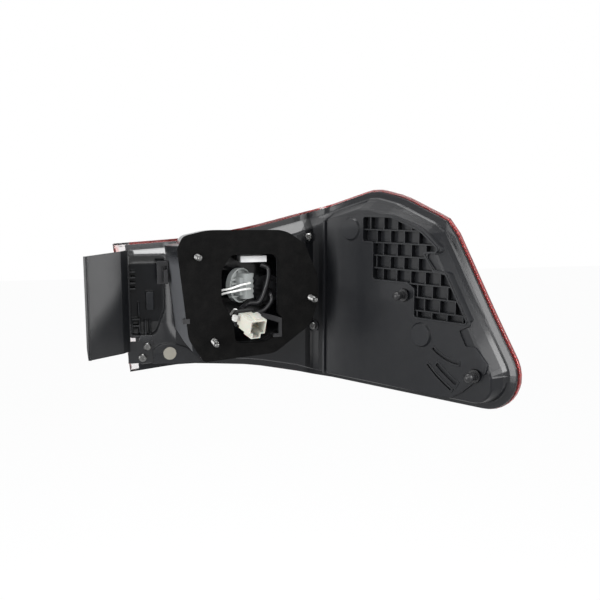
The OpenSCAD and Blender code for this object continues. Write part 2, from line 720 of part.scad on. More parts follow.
module side_flange() {
    color([0.14, 0.14, 0.15])
    difference() {
        union() {
            intersection() {
                translate([0, 0, plate_low]) linear_extrude(plate_top - plate_low) plate_plan();
                on_rear(floor_y + 1) linear_extrude(60) polygon([[plate_tip[0] - 6, plate_top - 4],
                    [plate_root[0] + 4, plate_top], [plate_root[0] + 4, plate_low],
                    [plate_tip[0] + 0.2, plate_low], [plate_tip[0] - 6, plate_low + 60]]);
            }
            translate([plate_root[0] - plate_t / 2, floor_y - foot_t - 0.1, plate_low - 14])
                cube([foot_len, foot_t, 24]);
        }
        for (p = flange_screw_places)
            on_rim(p[0], p[1], -rear_rise) translate([0, 0, -2])
                cylinder(d = screw_d + 2 * stud_fit, h = 8);
    }
}
module flange_screws() {
    color([0.72, 0.72, 0.7])
    for (p = flange_screw_places)
        on_rim(p[0], p[1], -rear_rise - foot_t - 0.2) pan_screw(foot_t + 5);
}

module vent_patch() {
    color([0.72, 0.71, 0.66])
    translate([vent_x, floor_y - vent_pad_h - 0.05, vent_z]) rotate([90, 0, 0])
        cylinder(d = vent_d, h = 0.8);
}

// U clip that grips the edge of the gasket and lies flush in its notch.
clip_x = -12.4;
clip_z = -66;
clip_w = 5;
clip_t = 1.5;
module gasket_clip() {
    color([0.08, 0.08, 0.08])
    translate([clip_x, 0, clip_z - clip_w / 2]) {
        translate([-3.4, 0.1, 0]) cube([7, clip_t, clip_w]);
        translate([-3.4, 0.1, 0]) cube([1.4, gasket_t + 2, clip_w]);
        translate([-3.4, gasket_t + 0.2, 0]) cube([3, clip_t, clip_w]);
    }
}

// L-shaped clip that stands off the side of the tower, over the end of the recess.
clip_y = 45;
module retainer_clip() {
    color([0.3, 0.31, 0.32])
    translate([-26.3, clip_y, -7]) {
        on_rear(3) linear_extrude(3) difference() {
            polygon([[-11.7, 0], [0, 0], [0, -24.5], [-11.7, -24.5]]);
            polygon([[-6.7, -5.5], [-1.2, -5.5], [-1.2, -22], [-6.7, -22]]);
        }
        translate([-4.7, -3, -23.5]) cube([4.2, 6, 14.5]);
    }
}

// Twist-lock holder: barrel with a seal groove, flange with ribs and a finger block.
barrel_len = 28;
seal_r = 1.2;
seal_at = -5;
block_h = 16;
module holder_barrel(len) {
    rotate_extrude() difference() {
        translate([0, -len]) square([holder_bore / 2 - 0.4, len + 1]);
        translate([holder_bore / 2 - seal_r - 0.1, seal_at]) circle(r = seal_r + 0.1, $fn = 24);
    }
}
module bulb_cavity(len) {
    translate([0, 0, -len - 1]) cylinder(d = base_d + 0.4, h = base_depth + 1);
}
base_d = 15;
base_depth = 8;
module reverse_bulb_holder() {
    color([0.6, 0.61, 0.6])
    on_holder() difference() {
        union() {
            holder_barrel(barrel_len);
            cylinder(d = holder_d, h = flange_t);
            translate([-4, -14, flange_t - 0.5]) cube([13, 27, block_h - flange_t]);
            translate([-9, -10, flange_t - 0.5]) cube([6, 19, block_h - flange_t - 4]);
            for (y = [-12, -7.5, -3, 1.5, 6])
                translate([-17, y, flange_t - 0.2]) cube([14, 1.6, 4]);
            difference() {
                cylinder(d = holder_d, h = flange_t + 3);
                translate([0, 0, flange_t - 1]) cylinder(d = holder_d - 3, h = 6);
            }
        }
        translate([-3, 14.6, -1]) cylinder(d = 3.2, h = 12);
        for (y = [-3, 3])
            translate([0, y, block_h - 6]) cylinder(d = wire_d + 0.4, h = 8);
        bulb_cavity(barrel_len);
        for (y = [-10.5, -5, 0.5, 6])
            translate([8, y, flange_t + 2]) cube([2, 2.6, block_h]);
    }
}
module reverse_seal() {
    color([0.75, 0.35, 0.1])
    on_holder() translate([0, 0, seal_at]) rotate_extrude()
        translate([holder_bore / 2 - seal_r - 0.05, 0]) circle(r = seal_r - 0.02, $fn = 24);
}
// Bulb: plain base in the holder and a glass capsule.
glass_r = 9;
module bulb(len) {
    translate([0, 0, -len + base_depth - 0.4 - 18]) cylinder(d = base_d, h = 18);
    translate([0, 0, -len - 18]) cylinder(r = glass_r - 2, h = 12);
    translate([0, 0, -len - 20]) sphere(r = glass_r);
}
module reverse_bulb() {
    color([0.92, 0.92, 0.9]) on_holder() bulb(barrel_len);
}
turn_barrel = 16;
turn_block_h = 12.5;
module turn_bulb_holder() {
    color([0.1, 0.1, 0.1])
    on_turn() difference() {
        union() {
            holder_barrel(turn_barrel);
            cylinder(d = turn_flange_d, h = flange_t);
            translate([-7, -11, flange_t - 0.5]) cube([14, 22, turn_block_h - flange_t]);
            for (y = [-9, -4, 1, 6])
                translate([-14, y, flange_t - 0.2]) cube([28, 1.8, 3]);
        }
        bulb_cavity(turn_barrel);
        translate([0, 0, turn_block_h - 3]) cylinder(d = sleeve_d + 0.4, h = 6);
    }
}
module turn_seal() {
    color([0.75, 0.35, 0.1])
    on_turn() translate([0, 0, seal_at]) rotate_extrude()
        translate([holder_bore / 2 - seal_r - 0.05, 0]) circle(r = seal_r - 0.02, $fn = 24);
}
module turn_bulb() {
    color([0.95, 0.6, 0.2]) on_turn() bulb(turn_barrel);
}

// Reflector bowls: a parabola shell with a mouth flange and three feet on the floor.
bowl_y = 88;
bowl_t = 1.6;
bowl_depth = 28;
bowl_share = 0.568;
reverse_bowl_x = left_x + bowl_share * (turn_x - left_x);
module bowl(r, hole_r) {
    steps = 8;
    inner = [for (k = [0 : steps]) let (q = k / steps, at = hole_r + q * (r - hole_r))
        [at, -bowl_depth * (1 - pow(at / r, 2))]];
    rotate_extrude() polygon(concat(inner, [[r + 5, 0], [r + 5, -bowl_t]],
        [for (k = [steps : -1 : 0]) [inner[k][0] * (1 + bowl_t / r), inner[k][1] - bowl_t]]));
}
foot_r = 2;
module bowl_feet(r) {
    for (a = [90, 210, 330])
        rotate([0, 0, a]) translate([r + 2.8, 0, -bowl_y + floor_y + wall + 0.2])
            cylinder(r = foot_r, h = bowl_y - floor_y - wall - 1);
}
module reverse_reflector() {
    color([0.8, 0.8, 0.82])
    translate([reverse_bowl_x, bowl_y, holder_z]) rotate([-90, 0, 0]) difference() {
        union() {
            bowl(reverse_r, 0);
            bowl_feet(reverse_r);
        }
        translate([-reverse_bowl_x, 0, -bowl_y]) translate([holder_x, 0, holder_y])
            rotate([0, -holder_turn, 0]) cylinder(r = glass_r + 1.5, h = 90);
    }
}
module turn_reflector() {
    color([0.8, 0.8, 0.82])
    translate([turn_x, bowl_y, turn_z]) rotate([-90, 0, 0]) {
        bowl(turn_r, turn_r / 2);
        bowl_feet(turn_r);
    }
}

// Bezel over the bowls, with the outline of the rear moved inwards.
bezel_t = 2;
bezel_inset = 25;
bezel_x = [for (u = [left_u + 42 : 13 : -8]) u];
module inner_bezel() {
    top = inset_edge(rim_top, 1, bezel_inset, 0);
    bottom = inset_edge(rim_bottom, -1, bezel_inset, 0);
    color([0.32, 0.32, 0.34])
    on_rear(bowl_y + 0.2 + bezel_t) linear_extrude(bezel_t) difference() {
        polygon(concat([for (u = bezel_x) [corner_x + u, lookup(u, top)]],
            [for (i = [len(bezel_x) - 1 : -1 : 0]) let (u = bezel_x[i])
                [corner_x + u, lookup(u, bottom)]]));
        translate([reverse_bowl_x, holder_z]) circle(r = reverse_r);
        translate([turn_x, turn_z]) circle(r = turn_r);
    }
}

// Circuit board of the wing on its posts, its light sources and their bezel.
board_outline = [[12, 22], [95, 26], [128, 4], [168, -70], [176, -108], [12, -108]];
module led_board() {
    color([0.1, 0.3, 0.15])
    on_wing() translate([0, 0, -board_rise - board_t - 0.05])
        linear_extrude(board_t) polygon(board_outline);
}
led_rows = [[4, 5], [-15, 6], [-34, 6], [-53, 7], [-72, 7]];
led_x = 30;
led_size = 5;
led_h = 2;
led_places = [for (row = led_rows) for (k = [0 : row[1] - 1])
    [led_x + k * led_pitch, row[0]]];
module leds() {
    color([0.95, 0.9, 0.7])
    on_wing() for (p = led_places)
        translate([p[0] - led_size / 2, p[1] - led_size / 2, -board_rise - board_t - 0.1 - led_h])
            cube([led_size, led_size, led_h]);
}
cup_r = 8;
cup_depth = 9;
bezel_rise = board_rise + board_t + 0.2;
module led_bezel() {
    color([0.6, 0.6, 0.62])
    on_wing() translate([0, 0, -bezel_rise - cup_depth]) difference() {
        union() {
            linear_extrude(2) polygon([[8, 28], [100, 31], [138, 6], [tip_reach - 19.5, -66],
                [tip_reach + 4.5, tip_z - 5], [8, tip_z - 7]]);
            for (p = led_places)
                translate([p[0], p[1], 0]) cylinder(r = cup_r + 0.8, h = cup_depth);
        }
        for (p = led_places)
            translate([p[0], p[1], -1]) cylinder(r1 = cup_r, r2 = led_size * 0.8, h = cup_depth + 2);
    }
}
module reflex_reflector() {
    color([0.75, 0.05, 0.05])
    on_wing() translate([0, 0, -bezel_rise - cup_depth - 4.1]) linear_extrude(4)
        polygon([[20, -88], [170, -88], [tip_reach - 5.5, -108], [20, -108]]);
}

// White header of the board's lead, under the top edge of the access hole.
led_plug_x = 47;
led_plug_w = 28;
led_plug_h = 6.6;
led_plug_z = -4.3;
module led_plug() {
    color([0.85, 0.85, 0.84]) {
        translate([led_plug_x, 15, led_plug_z - led_plug_h / 2]) cube([led_plug_w, 14, led_plug_h]);
        translate([led_plug_x + 2, 28, led_plug_z - led_plug_h / 2 - 1])
            cube([led_plug_w - 4, well_floor - 28.1, led_plug_h + 2]);
    }
}

// Main plug: z runs from its back to its mouth.
plug_x = 45;
plug_y = 3.4;
plug_z = -62.7;
plug_turn = 23;
plug_dip = 15;
mouth_depth = 14;
module on_plug() {
    translate([plug_x, plug_y, plug_z])
        rotate([0, 0, plug_turn])
            rotate([90 + plug_dip, 0, 0])
                children();
}
function plug_point(x, y, z) = let (f = -z * cos(plug_dip) - y * sin(plug_dip),
        up = y * cos(plug_dip) - z * sin(plug_dip))
    [plug_x + x * cos(plug_turn) - f * sin(plug_turn),
     plug_y + x * sin(plug_turn) + f * cos(plug_turn), plug_z + up];
back_step = 3;
lock_at = 8;
lock_h = 4;
lock_t = 3;
lock_fit = 0.15;
module lock_bar(d) {
    translate([-plug_w / 2 - 7, 1 - d, lock_at - d])
        cube([plug_w + 12, lock_h + 2 * d, lock_t + 2 * d]);
}
module box(w, h, l) {
    translate([-w / 2, -h / 2, 0]) cube([w, h, l]);
}
module connector_housing() {
    color([0.9, 0.9, 0.86])
    on_plug() difference() {
        union() {
            box(plug_w - back_step, plug_h - back_step, plug_len - 4);
            translate([0, 0, 12]) box(plug_w, plug_h, plug_len - 12);
            translate([-1, -plug_h / 2 - 1.5, 18]) box(11, 6, plug_len - 18);
            translate([0, plug_h / 2, 16]) box(6, 3, plug_len - 18);
        }
        translate([0, 0, plug_len - mouth_depth])
            box(plug_w - 2 * plug_wall, plug_h - 2 * plug_wall, mouth_depth + 1);
        translate([-1, -plug_h / 2 - 1, plug_len - mouth_depth])
            box(11 - 2 * plug_wall, 5, mouth_depth + 1);
        lock_bar(lock_fit);
    }
}
module connector_terminals() {
    color([0.8, 0.68, 0.35])
    on_plug() for (x = [-5, 0, 5]) for (y = [-2.5, 2.5])
        translate([x - 0.4, y - 0.4, plug_len - mouth_depth + 0.05]) cube([0.8, 0.8, 7]);
}
module connector_lock() {
    color([0.62, 0.62, 0.6])
    on_plug() {
        lock_bar(0);
        translate([-plug_w / 2 - 7, 0.2, lock_at - 0.5]) cube([3.5, lock_h + 1.6, lock_t + 2.5]);
        translate([plug_w / 2 + 2, 0.2, lock_at - 0.5]) cube([3, lock_h + 1.6, lock_t + 4]);
    }
}
collar = 2;
collar_gap = 0.5;
module connector_bracket() {
    color([0.12, 0.12, 0.12])
    difference() {
        union() {
            intersection() {
                on_plug() translate([0, 0, 2]) box(plug_w - back_step + 2 * collar + 1,
                    plug_h - back_step + 2 * collar + 1, 4);
                on_rear(plug_len) linear_extrude(2 * plug_len)
                    polygon(grow_from(hole_outline, [58, -45], -collar_gap));
            }
            on_rear(5) linear_extrude(4) polygon([[52, -57], [74, -62], [88.3, -66.5], [88.3, -86.8],
                [79, -86.8], [79, -83], [84.5, -83], [84.5, -71], [73, -67], [54, -68]]);
        }
        on_plug() translate([0, 0, -2]) box(plug_w - back_step + 0.4, plug_h - back_step + 0.4, 14);
        on_plug() translate([plug_w / 2 + 6, 0, -4]) box(6, 7, 14);
    }
}

// A wire swept along a smooth line through its route's points.
function bend(a, b, c, d, t) = 0.5 * (2 * b + (c - a) * t + (2 * a - 5 * b + 4 * c - d) * t * t
    + (3 * b - a - 3 * c + d) * t * t * t);
function smooth(pts, k) = let (n = len(pts))
    concat([for (i = [0 : n - 2]) for (j = [0 : k - 1])
        bend(pts[max(0, i - 1)], pts[i], pts[i + 1], pts[min(n - 1, i + 2)], j / k)], [pts[n - 1]]);
module wire(route, d, sides = 8) {
    line = smooth(route, 4);
    n = len(line);
    frames = [for (i = [0 : n - 1])
        let (t = unit(line[min(n - 1, i + 1)] - line[max(0, i - 1)]),
             side = unit(cross(t, [0.1, 0.7, 0.7])))
        [line[i], side, cross(t, side)]];
    points = [for (f = frames) for (k = [0 : sides - 1]) let (a = 360 * k / sides)
        f[0] + (f[1] * cos(a) + f[2] * sin(a)) * d / 2];
    faces = concat([[for (k = [0 : sides - 1]) k]],
        [for (i = [0 : n - 2]) for (k = [0 : sides - 1])
            let (a = i * sides + k, b = i * sides + (k + 1) % sides)
            each [[a, a + sides, b + sides], [a, b + sides, b]]],
        [[for (k = [sides - 1 : -1 : 0]) (n - 1) * sides + k]]);
    polyhedron(points, faces);
}
route_a = concat([holder_point(0, 3, block_h - 5.5), holder_point(0, 3, block_h + 2)],
    [[46, 9.5, -31], [34, 8.6, -34.5], [24, 12.8, -37], [14.5, 20, -42.5], [13, 27.5, -52],
     [21, 26, -63], [34, 18, -64]], [plug_point(-4, 4.4, -8), plug_point(-4, 4.4, -0.2)]);
route_b = concat([holder_point(0, -3, block_h - 5.5), holder_point(0, -3, block_h + 2)],
    [[47, 9.5, -36], [35, 8.6, -38], [23.5, 12.8, -41.3], [11.5, 20, -48.5],
     [5, 29, -59], [15, 31, -71], [33, 20, -71]], [plug_point(-4, -4.4, -8), plug_point(-4, -4.4, -0.2)]);
module holder_wires() {
    color([0.9, 0.9, 0.9]) {
        wire(route_a, wire_d);
        wire(route_b, wire_d);
    }
}
sleeve_d = 5.5;
route_c = concat([plug_point(4.5, 4, -2.8), plug_point(4.5, 4, -8)],
    [[56, 19, -52], [68, 18.5, -50], [76, 19, -32], [78, 19.5, -16], [70, 22, -11]]);
route_d = concat([plug_point(4.5, -4, -2.8), plug_point(4.5, -4, -8)],
    [[60, 17, -62], [72, 18, -60], [81, 18.5, -50]], [[turn_x, 20, turn_z - 3],
     [turn_x, turn_y - turn_block_h + 2.8, turn_z]]);
module harness_sleeve() {
    color([0.07, 0.07, 0.07]) {
        wire(route_c, sleeve_d);
        wire(route_d, sleeve_d);
    }
}

housing();
red_lens();
end_window();
reverse_window();
lens_bond();
foam_gasket();
mounting_studs();
ball_pins();
housing_screws();
side_flange();
flange_screws();
vent_patch();
gasket_clip();
retainer_clip();
reverse_bulb_holder();
reverse_seal();
reverse_bulb();
turn_bulb_holder();
turn_seal();
turn_bulb();
reverse_reflector();
turn_reflector();
inner_bezel();
led_board();
leds();
led_bezel();
reflex_reflector();
led_plug();
connector_housing();
connector_terminals();
connector_lock();
connector_bracket();
holder_wires();
harness_sleeve();
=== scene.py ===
import math

import bmesh
import bpy
from mathutils import Matrix, Vector


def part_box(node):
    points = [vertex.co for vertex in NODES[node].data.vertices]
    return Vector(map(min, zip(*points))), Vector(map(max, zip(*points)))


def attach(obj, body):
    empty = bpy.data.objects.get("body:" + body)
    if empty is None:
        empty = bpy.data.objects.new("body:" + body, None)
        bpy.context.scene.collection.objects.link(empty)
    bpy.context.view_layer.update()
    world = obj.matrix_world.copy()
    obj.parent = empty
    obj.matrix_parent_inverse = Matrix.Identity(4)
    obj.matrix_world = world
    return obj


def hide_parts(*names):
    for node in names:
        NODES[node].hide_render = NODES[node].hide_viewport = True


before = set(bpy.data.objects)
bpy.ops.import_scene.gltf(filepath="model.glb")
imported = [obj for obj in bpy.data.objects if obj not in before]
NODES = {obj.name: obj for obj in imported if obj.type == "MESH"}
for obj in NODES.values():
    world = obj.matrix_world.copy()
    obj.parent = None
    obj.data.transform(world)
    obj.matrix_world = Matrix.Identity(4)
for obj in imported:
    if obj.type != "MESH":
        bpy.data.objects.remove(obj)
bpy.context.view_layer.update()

MM = 0.001

RIGHT, LEFT = (1, 0, 0), (-1, 0, 0)
UP, DOWN = (0, 0, 1), (0, 0, -1)
TO_ROAD, TO_CAR = (0, 1, 0), (0, -1, 0)


# Shader helpers

def add(tree, kind, **settings):
    """A node with its properties set."""
    node = tree.nodes.new(kind)
    for key, value in settings.items():
        setattr(node, key, value)
    return node


def feed(tree, socket, value):
    """Links an output to an input, or sets the input to a plain value."""
    if isinstance(value, bpy.types.NodeSocket):
        tree.links.new(value, socket)
    else:
        socket.default_value = value


def maths(tree, operation, *values):
    """A Math node fed with sockets or plain numbers."""
    node = add(tree, "ShaderNodeMath", operation=operation)
    for socket, value in zip(node.inputs, values):
        feed(tree, socket, value)
    return node.outputs[0]


def times(tree, first, *others):
    """The product of sockets or plain numbers."""
    for other in others:
        first = maths(tree, "MULTIPLY", first, other)
    return first


def scaled(tree, value, factor, base):
    """A value times a factor, on top of a base."""
    return maths(tree, "MULTIPLY_ADD", value, factor, base)


def rest_of(tree, mask):
    """What a mask leaves out."""
    return maths(tree, "SUBTRACT", 1.0, mask)


def ramped(tree, value, start, end):
    """0 to 1 as a value goes from start to end."""
    step = add(tree, "ShaderNodeMapRange")
    step.inputs["From Min"].default_value = start
    step.inputs["From Max"].default_value = end
    tree.links.new(value, step.inputs["Value"])
    return step.outputs[0]


def opaque(colour):
    """A colour with its fourth value."""
    return tuple(colour) + (1,)


def blend_colours(tree, share, first, second):
    """A colour mix fed with sockets or plain values."""
    node = add(tree, "ShaderNodeMix", data_type="RGBA")
    for socket, value in ((node.inputs[0], share), (node.inputs[6], first), (node.inputs[7], second)):
        feed(tree, socket, value)
    return node.outputs[2]


def noise(tree, scale, detail=3.0, rough=0.5, stretch=None):
    """Noise in the lamp's own frame, with an optional stretch."""
    source = add(tree, "ShaderNodeTexCoord").outputs["Object"]
    node = add(tree, "ShaderNodeTexNoise")
    node.inputs["Detail"].default_value = detail
    node.inputs["Roughness"].default_value = rough
    feed(tree, node.inputs["Scale"], scale)
    if stretch:
        mapping = add(tree, "ShaderNodeMapping")
        mapping.inputs["Scale"].default_value = stretch
        tree.links.new(source, mapping.inputs["Vector"])
        source = mapping.outputs["Vector"]
    tree.links.new(source, node.inputs["Vector"])
    return node.outputs["Fac"]


def normal_part(tree, axis):
    """How far a face looks along an axis of the lamp, from -1 to 1."""
    split = add(tree, "ShaderNodeSeparateXYZ")
    tree.links.new(add(tree, "ShaderNodeNewGeometry").outputs["Normal"], split.inputs[0])
    return split.outputs[axis]


def zone(tree, way, start, end):
    """0 to 1 as a point goes from start to end along a direction, in mm."""
    along = add(tree, "ShaderNodeVectorMath", operation="DOT_PRODUCT")
    along.inputs[1].default_value = way
    tree.links.new(add(tree, "ShaderNodeTexCoord").outputs["Object"], along.inputs[0])
    return ramped(tree, along.outputs["Value"], start * MM, end * MM)


# Camera and light

# Lens and film in mm, the way round and up in radians, and the place in metres
CAMERA_LENS = 42
CAMERA_FILM = 36
CAMERA_RANGE = 20
CAMERA_TURN = math.radians(15)
CAMERA_RISE = math.radians(7.7)
CAMERA_PLACE = Vector((-83.10, -712.20, 51.91)) * MM


def camera():
    """The photograph's view: low, from the inboard end of the lamp."""
    data = bpy.data.cameras.new("camera")
    data.lens = CAMERA_LENS
    data.sensor_width = CAMERA_FILM
    data.clip_end = CAMERA_RANGE
    piece = bpy.data.objects.new("camera", data)
    level = Vector((-math.sin(CAMERA_TURN), -math.cos(CAMERA_TURN), 0))
    back = level * math.cos(CAMERA_RISE) + Vector(UP) * math.sin(CAMERA_RISE)
    right = Vector((math.cos(CAMERA_TURN), -math.sin(CAMERA_TURN), 0))
    turn = Matrix((right, back.cross(right), back)).transposed().to_4x4()
    piece.matrix_world = Matrix.Translation(CAMERA_PLACE) @ turn
    bpy.context.collection.objects.link(piece)
    bpy.context.scene.camera = piece


# Metres: the point that the lamps face, how far they stand from it, and how wide they are
LAMP_AIM = Vector((0.07, 0.0, -0.03))
LAMP_REACH = 0.9
LAMP_WIDTH = 0.4
# Each lamp's name, its way from the aim, its height in metres and its power in watts
LAMPS = (
    ("overhead_lamp", (-0.02, 0.0, 1.0), 0.4, 5.0),
    ("high_left_lamp", (-0.35, 0.3, 0.88), 0.4, 1.6),
    ("left_lamp", (-0.98, 0.14, 0.05), 0.4, 1.4),
    ("left_front_lamp", (-0.85, -0.5, 0.06), 0.75, 9.5),
    ("right_front_lamp", (0.75, -0.62, 0.25), 0.4, 7.0),
    ("front_lamp", (-0.17, -0.86, 0.49), 0.4, 3.0),
    ("front_right_lamp", (0.35, -0.92, 0.2), 0.4, 0.8),
)


def softbox(name, way, height, power):
    """A rectangular studio lamp that faces the middle of the tail lamp."""
    data = bpy.data.lights.new(name, "AREA")
    data.shape = "RECTANGLE"
    data.size = LAMP_WIDTH
    data.size_y = height
    data.energy = power
    piece = bpy.data.objects.new(name, data)
    place = LAMP_AIM + Vector(way).normalized() * LAMP_REACH
    facing_aim = (LAMP_AIM - place).to_track_quat("-Z", "Y").to_matrix().to_4x4()
    piece.matrix_world = Matrix.Translation(place) @ facing_aim
    bpy.context.collection.objects.link(piece)


def seen_directly(tree):
    """1 for what the camera, a mirror or a lens sees, and 0 for what lights the lamp."""
    path = add(tree, "ShaderNodeLightPath")
    by_eye = maths(tree, "MAXIMUM", path.outputs["Is Camera Ray"], path.outputs["Is Glossy Ray"])
    return maths(tree, "MAXIMUM", by_eye, path.outputs["Is Transmission Ray"])


# Height in the room, from 0 below to 1 above, and the tone there
ROOM_LOW = (0.30, (0.16, 0.16, 0.165, 1))
ROOM_HIGH = (0.72, (0.62, 0.63, 0.65, 1))


def room_light(tree):
    """The soft grey of the room, darker below, as a background."""
    room = add(tree, "ShaderNodeBackground")
    split = add(tree, "ShaderNodeSeparateXYZ")
    tree.links.new(add(tree, "ShaderNodeTexCoord").outputs["Generated"], split.inputs[0])
    ramp = add(tree, "ShaderNodeValToRGB")
    for stop, (place, colour) in zip(ramp.color_ramp.elements, (ROOM_LOW, ROOM_HIGH)):
        stop.position = place
        stop.color = colour
    tree.links.new(ramped(tree, split.outputs["Z"], -1, 1), ramp.inputs["Fac"])
    tree.links.new(ramp.outputs["Color"], room.inputs["Color"])
    return room.outputs[0]


def mix_by(tree, share, first, second, out):
    """Mixes two shaders into an output."""
    mix = add(tree, "ShaderNodeMixShader")
    for socket, source in zip(mix.inputs, (share, first, second)):
        tree.links.new(source, socket)
    tree.links.new(mix.outputs[0], out.inputs["Surface"])


def studio_world():
    """A white backdrop, and the room that lights the lamp."""
    world = bpy.data.worlds.new("studio")
    world.use_nodes = True
    bpy.context.scene.world = world
    tree = world.node_tree
    tree.nodes.clear()
    backdrop = add(tree, "ShaderNodeBackground")
    backdrop.inputs["Color"].default_value = (1, 1, 1, 1)
    out = add(tree, "ShaderNodeOutputWorld")
    mix_by(tree, seen_directly(tree), room_light(tree), backdrop.outputs[0], out)


FLOOR_LEVEL = -0.62
FLOOR_REACH = 6
FLOOR_GLOW = 0.94


def floor_white():
    """Matt white that also glows for the camera, and still takes a soft shadow."""
    paint, tree, shader = begin("floor_white", Roughness=0.9)
    shader.inputs["Base Color"].default_value = (0.86, 0.86, 0.86, 1)
    glow = add(tree, "ShaderNodeEmission")
    share = times(tree, seen_directly(tree), FLOOR_GLOW)
    mix_by(tree, share, shader.outputs[0], glow.outputs[0], tree.nodes["Material Output"])
    return paint


def pale_floor():
    """A plain floor well below the lamp, so that its shadow stays soft and low."""
    bm = bmesh.new()
    bmesh.ops.create_grid(bm, x_segments=1, y_segments=1, size=FLOOR_REACH)
    mesh = bpy.data.meshes.new("floor")
    bm.to_mesh(mesh)
    bm.free()
    piece = bpy.data.objects.new("floor", mesh)
    piece.location = (0, 0, FLOOR_LEVEL)
    bpy.context.collection.objects.link(piece)
    mesh.materials.append(floor_white())


# Shared surface effects

def new_group(name, inputs, outputs):
    """An empty shader group whose inputs take their kind from their value: a number or a colour."""
    group = bpy.data.node_groups.new(name, "ShaderNodeTree")
    for label, value in inputs:
        kind = "NodeSocketColor" if isinstance(value, tuple) else "NodeSocketFloat"
        group.interface.new_socket(label, in_out="INPUT", socket_type=kind).default_value = value
    for label in outputs:
        kind = "NodeSocketColor" if label == "Color" else "NodeSocketFloat"
        group.interface.new_socket(label, in_out="OUTPUT", socket_type=kind)
    return group, add(group, "NodeGroupInput").outputs, add(group, "NodeGroupOutput").inputs


SMOOTHEST = 0.03


def grain_group():
    """Fine spark-eroded grain of a mould: a height, and a patchy change of roughness."""
    group, given, out = new_group("mould_grain",
                                  (("Grain Scale", 2600.0), ("Roughness", 0.4), ("Patchiness", 0.1)),
                                  ("Height", "Roughness"))
    broad = noise(group, scale=22.0, detail=4.0)
    flow = noise(group, scale=60.0, detail=2.0, stretch=(1.0, 1.0, 0.15))
    shift = maths(group, "SUBTRACT", maths(group, "ADD", broad, flow), 1.0)
    rough = scaled(group, shift, given["Patchiness"], given["Roughness"])
    group.links.new(noise(group, given["Grain Scale"], detail=2.0), out["Height"])
    group.links.new(maths(group, "MAXIMUM", rough, SMOOTHEST), out["Roughness"])
    return group


DUST_COLOUR = (0.42, 0.40, 0.37, 1)
DUST_LEAST, DUST_MOST = 0.06, 0.85
DUST_ON_WALLS, DUST_BY_TILT = 0.35, 0.5
DUST_ROUGHENS = 0.5
HAZE_SHARE = 0.25
# The noise values where the haze and the specks begin and are full
HAZE_SPAN, SPECK_SPAN = (0.42, 0.72), (0.70, 0.78)


def dust_group():
    """Fine pale specks and a thin haze, mostly on what faces up."""
    group, given, out = new_group("settled_dust",
                                  (("Color", (0, 0, 0, 1)), ("Amount", 0.3), ("Roughness", 0.4)),
                                  ("Color", "Roughness"))
    up = scaled(group, normal_part(group, "Z"), DUST_BY_TILT, DUST_ON_WALLS)
    up = maths(group, "MAXIMUM", up, DUST_LEAST)
    cloud = ramped(group, noise(group, scale=95.0, detail=6.0, rough=0.65), *HAZE_SPAN)
    specks = ramped(group, noise(group, scale=900.0, detail=2.0), *SPECK_SPAN)
    mask = times(group, maths(group, "ADD", times(group, cloud, HAZE_SHARE), specks), up, given["Amount"])
    mask = maths(group, "MINIMUM", mask, DUST_MOST)
    group.links.new(blend_colours(group, mask, given["Color"], DUST_COLOUR), out["Color"])
    group.links.new(scaled(group, mask, DUST_ROUGHENS, given["Roughness"]), out["Roughness"])
    return group


# The pointiness where an edge begins to be rubbed and is rubbed in full, and the least rubbing there
RUBBED_SPAN = (0.53, 0.66)
RUBBED_LEAST = 0.2


def rub_group():
    """Edges and high spots rubbed lighter, from the pointiness of the mesh and broken up by noise."""
    group, given, out = new_group("rubbed_edges",
                                  (("Color", (0, 0, 0, 1)), ("Rubbed", (0.1, 0.1, 0.1, 1)), ("Amount", 0.5)),
                                  ("Color",))
    pointed = add(group, "ShaderNodeNewGeometry").outputs["Pointiness"]
    patches = maths(group, "ADD", noise(group, scale=160.0, detail=4.0), RUBBED_LEAST)
    mask = times(group, ramped(group, pointed, *RUBBED_SPAN), patches, given["Amount"])
    mask = maths(group, "MINIMUM", mask, 1.0)
    group.links.new(blend_colours(group, mask, given["Color"], given["Rubbed"]), out["Color"])
    return group


HAIRLINE_SPAN = (0.62, 0.75)


def scuff_group():
    """Hairline scratches of handling, as a roughness and a faint height."""
    group, given, out = new_group("hairlines", (("Roughness", 0.1), ("Amount", 0.2)),
                                  ("Roughness", "Height"))
    upright = noise(group, scale=40.0, rough=0.6, stretch=(1.0, 1.0, 26.0))
    slanting = noise(group, scale=40.0, rough=0.6, stretch=(22.0, 3.0, 1.4))
    lines = ramped(group, maths(group, "MAXIMUM", upright, slanting), *HAIRLINE_SPAN)
    marks = times(group, lines, given["Amount"])
    group.links.new(maths(group, "ADD", marks, given["Roughness"]), out["Roughness"])
    group.links.new(marks, out["Height"])
    return group


CELL_SPAN = (0.0, 0.6)
# Painted shade in the cells: the tone in a cell's pit, and how much lighter it grows towards the cell walls;
# then the share of random clouds
CELL_PIT_PAINTED_SHADE, CELL_PAINTED_SHADE_RANGE, CELL_CLOUD_TONE = 0.6, 0.5, 0.35


